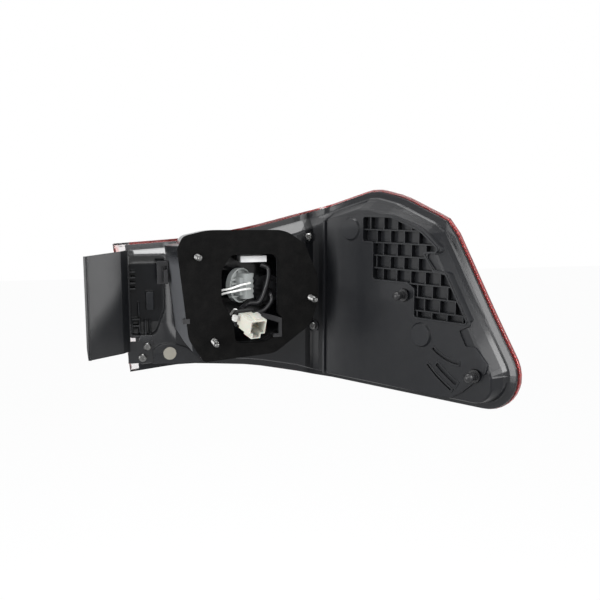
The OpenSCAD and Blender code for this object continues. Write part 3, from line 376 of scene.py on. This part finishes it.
def foam_group():
    """Closed cells of a cut foam sheet, with painted shade in their pits, and a little uneven in tone."""
    group, given, out = new_group("foam_cells", (("Cell Scale", 1400.0), ("Color", (0.01, 0.01, 0.01, 1))),
                                  ("Color", "Height"))
    cells = add(group, "ShaderNodeTexVoronoi", feature="F1")
    group.links.new(add(group, "ShaderNodeTexCoord").outputs["Object"], cells.inputs["Vector"])
    group.links.new(given["Cell Scale"], cells.inputs["Scale"])
    deep = ramped(group, cells.outputs["Distance"], *CELL_SPAN)
    # Painted shade: darker in the pits of the cells, lighter towards their walls
    shade = scaled(group, deep, CELL_PAINTED_SHADE_RANGE, CELL_PIT_PAINTED_SHADE)
    shade = scaled(group, noise(group, scale=30.0), CELL_CLOUD_TONE, shade)
    tone = add(group, "ShaderNodeVectorMath", operation="SCALE")
    group.links.new(given["Color"], tone.inputs[0])
    group.links.new(shade, tone.inputs["Scale"])
    group.links.new(tone.outputs[0], out["Color"])
    group.links.new(deep, out["Height"])
    return group


GROUPS = {"grain": grain_group(), "dust": dust_group(), "rub": rub_group(), "scuff": scuff_group(),
          "foam": foam_group()}


# Building blocks of the finishes

def place_group(tree, key, **values):
    """One of the shared groups, with its inputs set or linked."""
    node = add(tree, "ShaderNodeGroup", node_tree=GROUPS[key])
    for label, value in values.items():
        feed(tree, node.inputs[label.replace("_", " ")], value)
    return node.outputs


def begin(name, **shader_values):
    """A material with its Principled shader set."""
    paint = bpy.data.materials.new(name)
    paint.use_nodes = True
    tree = paint.node_tree
    shader = tree.nodes["Principled BSDF"]
    for label, value in shader_values.items():
        shader.inputs[label.replace("_", " ")].default_value = value
    return paint, tree, shader


def coat(tree, shader, colour, rough):
    """Gives a shader its colour and roughness."""
    tree.links.new(colour, shader.inputs["Base Color"])
    tree.links.new(rough, shader.inputs["Roughness"])


def bevelled(tree, radius):
    """The normal of softened edges, with their radius in mm."""
    soft = add(tree, "ShaderNodeBevel", samples=6)
    feed(tree, soft.inputs["Radius"], radius * MM if isinstance(radius, float) else times(tree, radius, MM))
    return soft.outputs[0]


def bumped(tree, height, strength, distance, normal):
    """The normal of a relief on top of another normal. The distance is what a height of 1 stands for."""
    bump = add(tree, "ShaderNodeBump")
    bump.inputs["Strength"].default_value = strength
    bump.inputs["Distance"].default_value = distance
    tree.links.new(height, bump.inputs["Height"])
    if normal is not None:
        tree.links.new(normal, bump.inputs["Normal"])
    return bump.outputs[0]


def relief(tree, shader, height, strength, radius=0.4, depth=0.2, form=None):
    """Softens the edges, bows the face as its form says in metres, and adds the fine height. Rest in mm."""
    normal = bevelled(tree, radius) if radius else None
    if form is not None:
        normal = bumped(tree, form, 1.0, 1.0, normal)
    tree.links.new(bumped(tree, height, strength, depth * MM, normal), shader.inputs["Normal"])


def rolled(tree, way, start, end, tilt, lead=0.0):
    """The height of a face that is tilted for a lead and rolls flat from start to end, along a way in mm."""
    part = zone(tree, way, start, end)
    eased = scaled(tree, times(tree, part, part), -0.5, part)
    height = times(tree, eased, tilt * (end - start) * MM)
    if lead:
        straight = zone(tree, way, start - lead, start)
        height = scaled(tree, straight, tilt * lead * MM, height)
    return height


def mottled(tree, colour, darker, scale, detail):
    """A colour with soft clouds of a darker share of itself."""
    shade = opaque(part * darker for part in colour)
    return blend_colours(tree, noise(tree, scale, detail), opaque(colour), shade)


# The shell's finish

# The wing's axes, and places along them in mm, from the corner that the part's source gives the shell
WRAP = math.radians(61)
CORNER_X, CORNER_RADIUS, RIM_Y = 118.5, 50.0, 70.0
WING_ALONG = Vector((math.cos(WRAP), -math.sin(WRAP), 0))
WING_OUT = Vector((-math.sin(WRAP), -math.cos(WRAP), 0))
WING_BASE = Vector((CORNER_X, RIM_Y - CORNER_RADIUS, 0)) - WING_OUT * CORNER_RADIUS
PANEL_LEVEL = WING_BASE.dot(WING_OUT) + 9
RIDGE = WING_BASE.dot(WING_ALONG) - 40

# Stretches of the shell: the way along which each begins, and where in mm it starts and is reached in full
SHELL_STRETCHES = {
    "wing": (RIGHT, 128, 136),
    "tip": (RIGHT, 225, 250),
    "inboard": (LEFT, -50, -30),
    "beside_tower": (LEFT, 28, 29),
    "panel": (WING_OUT, PANEL_LEVEL, PANEL_LEVEL + 1),
    "recess_floor": (TO_ROAD, 54.5, 55.5),
    "tower": (TO_CAR, -50, -46),
    "tower_foot": (TO_CAR, -56, -50),
    "top": (UP, -12, -10),
    "under_top": (DOWN, -2, 12),
    "above_low_end": (UP, -108, -75),
}
# How far a face looks to the left or to the car body where it counts as level with that axis, and where not
SQUARE_ON = (-0.93, -0.85)

# SHELL_BLACK is the shell's own colour. TOWER_SIDE_PAINTED_LIGHT is painted light: a lighter grey on the
# tower's side that faces left, standing for the light that falls there.
SHELL_BLACK, TOWER_SIDE_PAINTED_LIGHT = (0.0055, 0.006, 0.0072), (0.060, 0.062, 0.066)
SHELL_RUBBED = (0.035, 0.037, 0.041)
SHELL_ROUGHNESS, SATIN_ROUGHER, TOWER_ROUGHER = 0.20, 0.16, 0.25
SHELL_GLOSS, WING_DULLER, SATIN_DULLER, RIM_GLOSSIER = 0.30, -0.10, -0.12, 0.15
SHELL_GRAIN, SATIN_GRAIN = 0.15, 0.8
SATIN_RADIUS, GLOSSY_ROUNDER = 0.6, 1.4
CROWN_REACH, CROWN_TILT = 100, -0.60
BROW_START, BROW_END, BROW_SLOPE = -3, 10.5, 0.32
COVE_START, COVE_END, COVE_TILT = 19, 36, -0.9


def square_on(tree, axis):
    """1 on faces that look straight against an axis of the lamp."""
    return rest_of(tree, ramped(tree, normal_part(tree, axis), *SQUARE_ON))


def shell_zones(tree):
    """Masks of the shell's zones, each from 0 to 1."""
    zones = {name: zone(tree, *stretch) for name, stretch in SHELL_STRETCHES.items()}
    zones["tower"] = times(tree, zones["tower"], rest_of(tree, zones["wing"]))
    zones["satin"] = times(tree, zones["panel"], zones["wing"])
    zones["outer_rim"] = times(tree, zones["tip"], rest_of(tree, zones["satin"]))
    zones["recess"] = times(tree, zones["recess_floor"], zones["beside_tower"])
    # The tower's foot where it faces left: painted light there, and a rougher face
    zones["tower_side"] = times(tree, square_on(tree, "X"), zones["tower_foot"], zones["inboard"],
                                zones["under_top"])
    zones["glossy_top"] = times(tree, zones["top"], zones["inboard"], rest_of(tree, zones["tower"]))
    return zones


def shell_gloss(tree, zones):
    """How much clear gloss lies on the shell: full on the top slope, none in the recess and on the tower."""
    gloss = scaled(tree, zones["wing"], WING_DULLER, SHELL_GLOSS)
    gloss = scaled(tree, zones["satin"], SATIN_DULLER, gloss)
    matt = maths(tree, "MAXIMUM", zones["recess"], zones["tower"])
    gloss = maths(tree, "MAXIMUM", times(tree, gloss, rest_of(tree, matt)), zones["glossy_top"])
    return scaled(tree, zones["outer_rim"], RIM_GLOSSIER, gloss)


def shell_form(tree, zones):
    """The crown of the wing panel, the brow over the recess and the cove at the tower's foot."""
    crown = times(tree, rolled(tree, WING_ALONG, RIDGE, RIDGE + CROWN_REACH, CROWN_TILT), zones["wing"])
    brow = times(tree, zone(tree, DOWN, BROW_START, BROW_END), BROW_SLOPE * (BROW_END - BROW_START) * MM)
    cove = times(tree, rolled(tree, LEFT, COVE_START, COVE_END, COVE_TILT), zones["above_low_end"])
    inboard = times(tree, maths(tree, "ADD", brow, cove), zones["inboard"], square_on(tree, "Y"))
    return maths(tree, "ADD", crown, inboard)


def shell_black():
    """The back shell: polished on the rear and at the rim, satin on the wing panel, with painted light on
    the tower's left-facing side.
    """
    paint, tree, shader = begin("shell_black", Specular_IOR_Level=0.16, Coat_Roughness=0.10)
    zones = shell_zones(tree)
    rough = scaled(tree, zones["satin"], SATIN_ROUGHER, SHELL_ROUGHNESS)
    rough = scaled(tree, zones["tower_side"], TOWER_ROUGHER, rough)
    fine = place_group(tree, "grain", Grain_Scale=2300.0, Roughness=rough, Patchiness=0.08)
    lines = place_group(tree, "scuff", Roughness=fine["Roughness"], Amount=0.06)
    # Painted light: the left-facing side of the tower is blended to a lighter grey
    plain = blend_colours(tree, zones["tower_side"], opaque(SHELL_BLACK), opaque(TOWER_SIDE_PAINTED_LIGHT))
    rub = place_group(tree, "rub", Color=plain, Rubbed=opaque(SHELL_RUBBED), Amount=0.4)
    settled = place_group(tree, "dust", Color=rub["Color"], Amount=0.04, Roughness=lines["Roughness"])
    coat(tree, shader, settled["Color"], settled["Roughness"])
    tree.links.new(shell_gloss(tree, zones), shader.inputs["Coat Weight"])
    height = times(tree, fine["Height"], scaled(tree, zones["satin"], SATIN_GRAIN, SHELL_GRAIN))
    radius = scaled(tree, rest_of(tree, zones["satin"]), GLOSSY_ROUNDER, SATIN_RADIUS)
    relief(tree, shader, height, strength=0.22, radius=radius, form=shell_form(tree, zones))
    return paint


# The other finishes

def moulded(name, colour, rough, grain=0.25, scale=2600.0, rubbed=0.5, dust=0.3, radius=0.4, **more):
    """An injection-moulded plastic: grain, rubbed edges and a little dust."""
    paint, tree, shader = begin(name, **more)
    fine = place_group(tree, "grain", Grain_Scale=scale, Roughness=rough, Patchiness=0.1)
    lighter = opaque(min(1.0, part * 1.6 + 0.03) for part in colour)
    rub = place_group(tree, "rub", Color=opaque(colour), Rubbed=lighter, Amount=rubbed)
    settled = place_group(tree, "dust", Color=rub["Color"], Amount=dust, Roughness=fine["Roughness"])
    coat(tree, shader, settled["Color"], settled["Roughness"])
    relief(tree, shader, fine["Height"], grain, radius)
    return paint


# The way down the plate, and where in mm along it the tilted upper part begins to roll flat and is flat
FLANGE_WAY = (0.566, 0.437, -0.697)
FLANGE_BOW_START, FLANGE_BOW_END, FLANGE_LEAD, FLANGE_TILT = -10, 12, 60, 0.25


def flange_black():
    """The polished inboard plate, whose upper part is bowed a little."""
    paint, tree, shader = begin("flange_black", Specular_IOR_Level=0.20, Coat_Weight=0.35,
                                Coat_Roughness=0.24)
    fine = place_group(tree, "grain", Grain_Scale=900.0, Roughness=0.34, Patchiness=0.05)
    lines = place_group(tree, "scuff", Roughness=fine["Roughness"], Amount=0.10)
    settled = place_group(tree, "dust", Color=(0.006, 0.0065, 0.0075, 1), Amount=0.05,
                          Roughness=lines["Roughness"])
    coat(tree, shader, settled["Color"], settled["Roughness"])
    bow = rolled(tree, FLANGE_WAY, FLANGE_BOW_START, FLANGE_BOW_END, FLANGE_TILT, FLANGE_LEAD)
    relief(tree, shader, fine["Height"], strength=0.04, radius=0.8, form=bow)
    return paint


def seal_foam():
    """Matt black cut foam."""
    paint, tree, shader = begin("seal_foam", Specular_IOR_Level=0.04)
    cells = place_group(tree, "foam", Cell_Scale=1500.0, Color=(0.0030, 0.0030, 0.0030, 1))
    settled = place_group(tree, "dust", Color=cells["Color"], Amount=0.06, Roughness=0.9)
    coat(tree, shader, settled["Color"], settled["Roughness"])
    relief(tree, shader, cells["Height"], strength=0.5, radius=0.8)
    return paint


def acrylic(name, colour, rough=0.03, clear=1.0, edge=None):
    """Clear or tinted lens plastic, hazier as clear falls, with another tint at its inboard edge if any."""
    paint, tree, shader = begin(name, Transmission_Weight=clear, IOR=1.49)
    lines = place_group(tree, "scuff", Roughness=rough, Amount=0.08)
    tone = mottled(tree, colour, darker=0.82, scale=70.0, detail=3.0)
    if edge:
        tint, start, end = edge
        tone = blend_colours(tree, zone(tree, LEFT, start, end), tone, opaque(tint))
    coat(tree, shader, tone, lines["Roughness"])
    relief(tree, shader, lines["Height"], strength=0.05, radius=0.5)
    return paint


def zinc_plate():
    """Zinc-plated steel with a faint yellow to blue passivation."""
    paint, tree, shader = begin("zinc_plate", Metallic=1.0)
    fine = place_group(tree, "grain", Grain_Scale=1800.0, Roughness=0.30, Patchiness=0.25)
    bloom = noise(tree, scale=240.0, detail=5.0, rough=0.6)
    tone = blend_colours(tree, bloom, (0.12, 0.124, 0.13, 1), (0.19, 0.186, 0.175, 1))
    coat(tree, shader, tone, fine["Roughness"])
    relief(tree, shader, fine["Height"], strength=0.15, radius=0.2)
    return paint


def bright_metal(name, colour, rough):
    """Vacuum-metallised plastic of the reflectors, and plated metal."""
    paint, tree, shader = begin(name, Metallic=1.0)
    lines = place_group(tree, "scuff", Roughness=rough, Amount=0.05)
    tone = mottled(tree, colour, darker=0.94, scale=35.0, detail=2.0)
    coat(tree, shader, tone, lines["Roughness"])
    relief(tree, shader, lines["Height"], strength=0.04)
    return paint


def breather_felt():
    """Pale pressed felt with short fibres."""
    paint, tree, shader = begin("breather_felt", Specular_IOR_Level=0.2, Roughness=0.95)
    fibre = noise(tree, scale=900.0, detail=6.0, rough=0.7, stretch=(1.0, 1.0, 3.0))
    tone = blend_colours(tree, fibre, (0.15, 0.147, 0.127, 1), (0.27, 0.262, 0.233, 1))
    tone = blend_colours(tree, noise(tree, scale=120.0), tone, (0.22, 0.205, 0.17, 1))
    tree.links.new(tone, shader.inputs["Base Color"])
    relief(tree, shader, fibre, strength=0.6, radius=0.3, depth=0.3)
    return paint


TRACKS = {"Scale": 90.0, "Mortar Size": 0.04, "Color1": (0.012, 0.10, 0.035, 1),
          "Color2": (0.010, 0.085, 0.03, 1), "Mortar": (0.03, 0.18, 0.07, 1)}


def circuit_green():
    """Solder mask with tracks under it."""
    paint, tree, shader = begin("circuit_green")
    tracks = add(tree, "ShaderNodeTexBrick")
    for label, value in TRACKS.items():
        tracks.inputs[label].default_value = value
    tree.links.new(add(tree, "ShaderNodeTexCoord").outputs["Object"], tracks.inputs["Vector"])
    fine = place_group(tree, "grain", Grain_Scale=3000.0, Roughness=0.35, Patchiness=0.1)
    coat(tree, shader, tracks.outputs["Color"], fine["Roughness"])
    relief(tree, shader, tracks.outputs["Fac"], strength=0.1, radius=0.0, depth=0.1)
    return paint


def bulb_skin(name, colour):
    """Glass capsule of a bulb."""
    paint, tree, shader = begin(name, Transmission_Weight=1.0, IOR=1.5)
    lines = place_group(tree, "scuff", Roughness=0.02, Amount=0.05)
    coat(tree, shader, mottled(tree, colour, darker=0.95, scale=60.0, detail=2.0), lines["Roughness"])
    return paint


# The clear end piece turns pink at its free end: the tint, and where in mm it starts and is full
WINDOW_END = -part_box("end_window")[0][0] / MM
PINK_EDGE = ((0.90, 0.62, 0.60), WINDOW_END - 7.5, WINDOW_END - 4.5)


def lens_finishes():
    """Lens plastics, bulbs, reflectors and what lies behind them."""
    return {
        "red_lens": acrylic("red_acrylic", (0.80, 0.17, 0.165), rough=0.06, clear=0.91),
        "clear_lens": acrylic("clear_acrylic", (0.93, 0.92, 0.92)),
        "end_lens": acrylic("end_acrylic", (0.96, 0.93, 0.93), edge=PINK_EDGE),
        "reflex": acrylic("reflex_red", (0.62, 0.01, 0.012), rough=0.08),
        "bulb": bulb_skin("bulb_glass", (0.97, 0.97, 0.96)),
        "amber": bulb_skin("amber_glass", (0.95, 0.36, 0.03)),
        "reflector": bright_metal("metallised", (0.86, 0.87, 0.88), rough=0.07),
        "bezel": bright_metal("bezel_dark", (0.10, 0.10, 0.11), rough=0.22),
        "board": circuit_green(),
        "emitter": moulded("emitter_resin", (0.75, 0.62, 0.18), rough=0.25, grain=0.05, scale=1500.0,
                           rubbed=0.0, dust=0.0, radius=0.2),
    }


def holder_finishes():
    """The plastics and rubbers of the seals, pins, clips and bulb holders."""
    return {
        "butyl": moulded("butyl_bead", (0.012, 0.012, 0.012), rough=0.6, grain=0.5, scale=700.0,
                         rubbed=0.0, dust=0.1, radius=0.3),
        "acetal": moulded("pin_acetal", (0.014, 0.014, 0.015), rough=0.28, grain=0.08, rubbed=0.3,
                          dust=0.1, radius=0.2, Specular_IOR_Level=0.25),
        "clip": moulded("clip_black", (0.009, 0.009, 0.010), rough=0.34, grain=0.12, scale=2400.0,
                        dust=0.1, radius=0.3, Specular_IOR_Level=0.2),
        "holder_grey": moulded("holder_grey", (0.27, 0.285, 0.28), rough=0.38, grain=0.22, scale=2200.0),
        "holder_black": moulded("holder_black", (0.006, 0.006, 0.007), rough=0.26, grain=0.15,
                                scale=2200.0, dust=0.05, Specular_IOR_Level=0.15),
        "silicone": moulded("silicone_ring", (0.50, 0.13, 0.02), rough=0.35, grain=0.1, scale=1500.0,
                            rubbed=0.0, dust=0.1, radius=0.2),
    }


def plug_finishes():
    """The plugs, their terminals and the wires."""
    return {
        "nylon": moulded("connector_nylon", (0.37, 0.365, 0.32), rough=0.40, grain=0.12, scale=1800.0,
                         rubbed=0.3, dust=0.2, Subsurface_Weight=0.15, Subsurface_Scale=0.002),
        "plug_white": moulded("plug_white", (0.58, 0.58, 0.58), rough=0.40, grain=0.12, scale=1800.0,
                              rubbed=0.3, dust=0.1),
        "lock": moulded("lock_grey", (0.36, 0.36, 0.35), rough=0.40, grain=0.12, scale=1800.0,
                        rubbed=0.3, dust=0.2, radius=0.3),
        "terminal": bright_metal("terminal_tin", (0.74, 0.66, 0.46), rough=0.3),
        "wire": moulded("wire_white", (0.78, 0.78, 0.76), rough=0.38, grain=0.05, scale=900.0,
                        rubbed=0.0, dust=0.25, radius=0.0),
        "sleeve": moulded("sleeve_black", (0.008, 0.008, 0.009), rough=0.30, grain=0.2, scale=900.0,
                          rubbed=0.2, dust=0.05, radius=0.0, Specular_IOR_Level=0.3),
    }


def make_finishes():
    """Every finish of the lamp, by name."""
    return {"shell": shell_black(), "flange": flange_black(), "foam": seal_foam(), "zinc": zinc_plate(),
            "felt": breather_felt(), **lens_finishes(), **holder_finishes(), **plug_finishes()}


NODE_FINISH = {
    "housing": "shell", "red_lens": "red_lens", "end_window": "end_lens", "reverse_window": "clear_lens",
    "lens_bond": "butyl", "foam_gasket": "foam", "mounting_studs": "zinc", "ball_pins": "acetal",
    "housing_screws": "zinc", "side_flange": "flange", "flange_screws": "zinc", "vent_patch": "felt",
    "gasket_clip": "clip", "retainer_clip": "clip", "reverse_bulb_holder": "holder_grey",
    "reverse_seal": "silicone", "reverse_bulb": "bulb", "turn_bulb_holder": "holder_black",
    "turn_seal": "silicone", "turn_bulb": "amber", "reverse_reflector": "reflector",
    "turn_reflector": "reflector", "inner_bezel": "bezel", "led_board": "board", "leds": "emitter",
    "led_bezel": "reflector", "reflex_reflector": "reflex", "led_plug": "plug_white",
    "connector_housing": "nylon", "connector_terminals": "terminal", "connector_lock": "lock",
    "connector_bracket": "clip", "holder_wires": "wire", "harness_sleeve": "sleeve",
}
NODE_SMOOTH = 24


def dress(finishes):
    """Gives every CAD node its finish."""
    for name, key in NODE_FINISH.items():
        mesh = NODES[name].data
        mesh.materials.clear()
        mesh.materials.append(finishes[key])
        smooth_faces(mesh, NODE_SMOOTH)


# Pieces made here in place of plain solids

def smooth_faces(mesh, angle):
    """Smooth shading, with edges sharper than an angle in degrees kept sharp."""
    mesh.shade_smooth()
    mesh.set_sharp_from_angle(angle=math.radians(angle))


def new_piece(name, bm, finish, smooth):
    """A mesh object from a bmesh, shaded smooth up to an angle in degrees."""
    bmesh.ops.recalc_face_normals(bm, faces=bm.faces)
    mesh = bpy.data.meshes.new(name)
    bm.to_mesh(mesh)
    bm.free()
    mesh.materials.append(finish)
    smooth_faces(mesh, smooth)
    piece = bpy.data.objects.new(name, mesh)
    bpy.context.collection.objects.link(piece)
    return piece


def skin_rings(bm, rings):
    """A closed skin over a row of rings with as many points each."""
    sides = len(rings[0])
    for low, high in zip(rings, rings[1:]):
        for k in range(sides):
            bm.faces.new((low[k], low[(k + 1) % sides], high[(k + 1) % sides], high[k]))
    bm.faces.new(list(reversed(rings[0])))
    bm.faces.new(rings[-1])


def around(k, sides):
    """The angle of a ring's point."""
    return 2 * math.pi * k / sides


STUD_PLACES = ((0.0, 0.0), (15.6, -88.0), (119.5, -45.5))
STUD_SIDES = 28
# Radius and distance out of the gasket: root, shank, neck, dog point and its chamfer
STUD_PROFILE = ((2.9, -14.0), (3.2, -13.7), (3.2, -0.1), (2.95, 0.0), (2.5, 0.3), (2.5, 17.0),
                (2.04, 17.7), (2.04, 21.4), (1.9, 21.7), (1.42, 22.0))
# The thread in mm: where it starts and ends in front of the gasket, its pitch and its radii
THREAD_START, THREAD_END, THREAD_PITCH = 0.3, 16.4, 1.0
THREAD_CREST, THREAD_ROOT = 2.99, 2.48
# Share of the pitch and radius: up the flank, along the crest and down again
THREAD_FORM = ((0.0, THREAD_ROOT), (0.36, THREAD_CREST), (0.52, THREAD_CREST), (0.88, THREAD_ROOT))
# Turns over which the ridge runs in and out
RUN_IN, RUN_OUT = 0.5, 0.8


def stud_ring_point(place, radius, turn, out):
    """A point round a stud's axis, out mm in front of the gasket."""
    x, z = place
    return Vector((x + radius * math.cos(turn), -out, z + radius * math.sin(turn))) * MM


def stud_core(bm, place):
    """The turned body of a stud."""
    skin_rings(bm, [[bm.verts.new(stud_ring_point(place, radius, around(k, STUD_SIDES), out))
                     for k in range(STUD_SIDES)] for radius, out in STUD_PROFILE])


def stud_thread(bm, place):
    """A helical ridge that runs in and out, as one strip of faces."""
    count = int((THREAD_END - THREAD_START) / THREAD_PITCH) * STUD_SIDES
    strip = []
    for k in range(count + 1):
        fade = min(1.0, k / (STUD_SIDES * RUN_IN), (count - k) / (STUD_SIDES * RUN_OUT))
        out = THREAD_START + THREAD_PITCH * k / STUD_SIDES
        strip.append([bm.verts.new(stud_ring_point(place, THREAD_ROOT + (radius - THREAD_ROOT) * fade,
                                                   around(k, STUD_SIDES), out + THREAD_PITCH * part))
                      for part, radius in THREAD_FORM])
    for low, high in zip(strip, strip[1:]):
        for j in range(len(THREAD_FORM) - 1):
            bm.faces.new((low[j], high[j], high[j + 1], low[j + 1]))


def threaded_studs(finish):
    """The three studs: root, cut thread, chamfer and dog point."""
    bm = bmesh.new()
    for place in STUD_PLACES:
        stud_core(bm, place)
        stud_thread(bm, place)
    piece = new_piece("studs_threaded", bm, finish, 25)
    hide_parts("mounting_studs")
    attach(piece, "root")


HOLDER_PLACE, HOLDER_TURN = (45.5, 30, -33), math.radians(40)
PLUG_PLACE, PLUG_TURN, PLUG_DIP = (45, 3.4, -62.7), math.radians(23), math.radians(15)


def holder_spot(x, y, z):
    """A point in the frame of the reversing bulb holder, in mm."""
    across, deep, up = HOLDER_PLACE
    return (across + x * math.cos(HOLDER_TURN) + z * math.sin(HOLDER_TURN),
            deep + x * math.sin(HOLDER_TURN) - z * math.cos(HOLDER_TURN), up + y)


def plug_spot(x, y, z):
    """A point in the frame of the main plug, in mm."""
    across, deep, up = PLUG_PLACE
    front = -z * math.cos(PLUG_DIP) - y * math.sin(PLUG_DIP)
    return (across + x * math.cos(PLUG_TURN) - front * math.sin(PLUG_TURN),
            deep + x * math.sin(PLUG_TURN) + front * math.cos(PLUG_TURN),
            up + y * math.cos(PLUG_DIP) - z * math.sin(PLUG_DIP))


def smooth_line(points, steps):
    """The smooth line of the solids' wires through their route's points."""
    line = []
    last = len(points) - 1
    for i in range(last):
        a, b = Vector(points[max(0, i - 1)]), Vector(points[i])
        c, d = Vector(points[i + 1]), Vector(points[min(last, i + 2)])
        for j in range(steps):
            t = j / steps
            line.append(0.5 * (2 * b + (c - a) * t + (2 * a - 5 * b + 4 * c - d) * t ** 2
                               + (3 * b - a - 3 * c + d) * t ** 3))
    return line + [Vector(points[last])]


OFF_AXIS = Vector((0.1, 0.7, 0.7))


def sweep_tube(bm, line, radius_at, sides):
    """A closed tube along a line, whose radius follows the length run."""
    rings = []
    run = 0.0
    for i, spot in enumerate(line):
        way = (line[min(i + 1, len(line) - 1)] - line[max(i - 1, 0)]).normalized()
        side = way.cross(OFF_AXIS).normalized()
        rise = way.cross(side)
        run += (spot - line[i - 1]).length if i else 0.0
        radius = radius_at(run)
        rings.append([bm.verts.new((spot + side * radius * math.cos(around(k, sides))
                                    + rise * radius * math.sin(around(k, sides))) * MM)
                      for k in range(sides)])
    skin_rings(bm, rings)


WIRE_ROUTES = (
    [holder_spot(0, 3, 10.5), holder_spot(0, 3, 18), (46, 9.5, -31), (34, 8.6, -34.5), (24, 12.8, -37),
     (14.5, 20, -42.5), (13, 27.5, -52), (21, 26, -63), (34, 18, -64), plug_spot(-4, 4.4, -8),
     plug_spot(-4, 4.4, -0.2)],
    [holder_spot(0, -3, 10.5), holder_spot(0, -3, 18), (47, 9.5, -36), (35, 8.6, -38), (23.5, 12.8, -41.3),
     (11.5, 20, -48.5), (5, 29, -59), (15, 31, -71), (33, 20, -71), plug_spot(-4, -4.4, -8),
     plug_spot(-4, -4.4, -0.2)])
SLEEVE_ROUTES = (
    [plug_spot(4.5, 4, -2.8), plug_spot(4.5, 4, -8), (56, 19, -52), (68, 18.5, -50), (76, 19, -32),
     (78, 19.5, -16), (70, 22, -11)],
    [plug_spot(4.5, -4, -2.8), plug_spot(4.5, -4, -8), (60, 17, -62), (72, 18, -60), (81, 18.5, -50),
     (80.5, 20, -43), (80.5, 28.3, -40)])
WIRE_RADIUS = 1.1
SLEEVE_RADIUS, WRAP_STEP, WRAP_PITCH = 2.72, 0.16, 6.5
TUBE_SMOOTH = 60


def wire_radius(run):
    """A plain round wire."""
    return WIRE_RADIUS


def sleeve_radius(run):
    """Black sleeving with a wrapped seam: a shallow step every few millimetres."""
    return SLEEVE_RADIUS - WRAP_STEP * (run / WRAP_PITCH % 1.0) ** 3


def lead_wires(finish):
    """The two white wires of the reversing bulb holder."""
    bm = bmesh.new()
    for route in WIRE_ROUTES:
        sweep_tube(bm, smooth_line(route, 14), wire_radius, sides=14)
    piece = new_piece("lead_wires", bm, finish, TUBE_SMOOTH)
    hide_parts("holder_wires")
    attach(piece, "root")


def black_sleeves(finish):
    """The two black sleeved leads behind the plug."""
    bm = bmesh.new()
    for route in SLEEVE_ROUTES:
        sweep_tube(bm, smooth_line(route, 30), sleeve_radius, sides=20)
    piece = new_piece("black_sleeves", bm, finish, TUBE_SMOOTH)
    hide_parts("harness_sleeve")
    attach(piece, "root")


# The whole

bpy.context.scene.view_settings.view_transform = "Standard"
camera()
studio_world()
pale_floor()
for lamp in LAMPS:
    softbox(*lamp)
FINISHES = make_finishes()
dress(FINISHES)
threaded_studs(FINISHES["zinc"])
lead_wires(FINISHES["wire"])
black_sleeves(FINISHES["sleeve"])
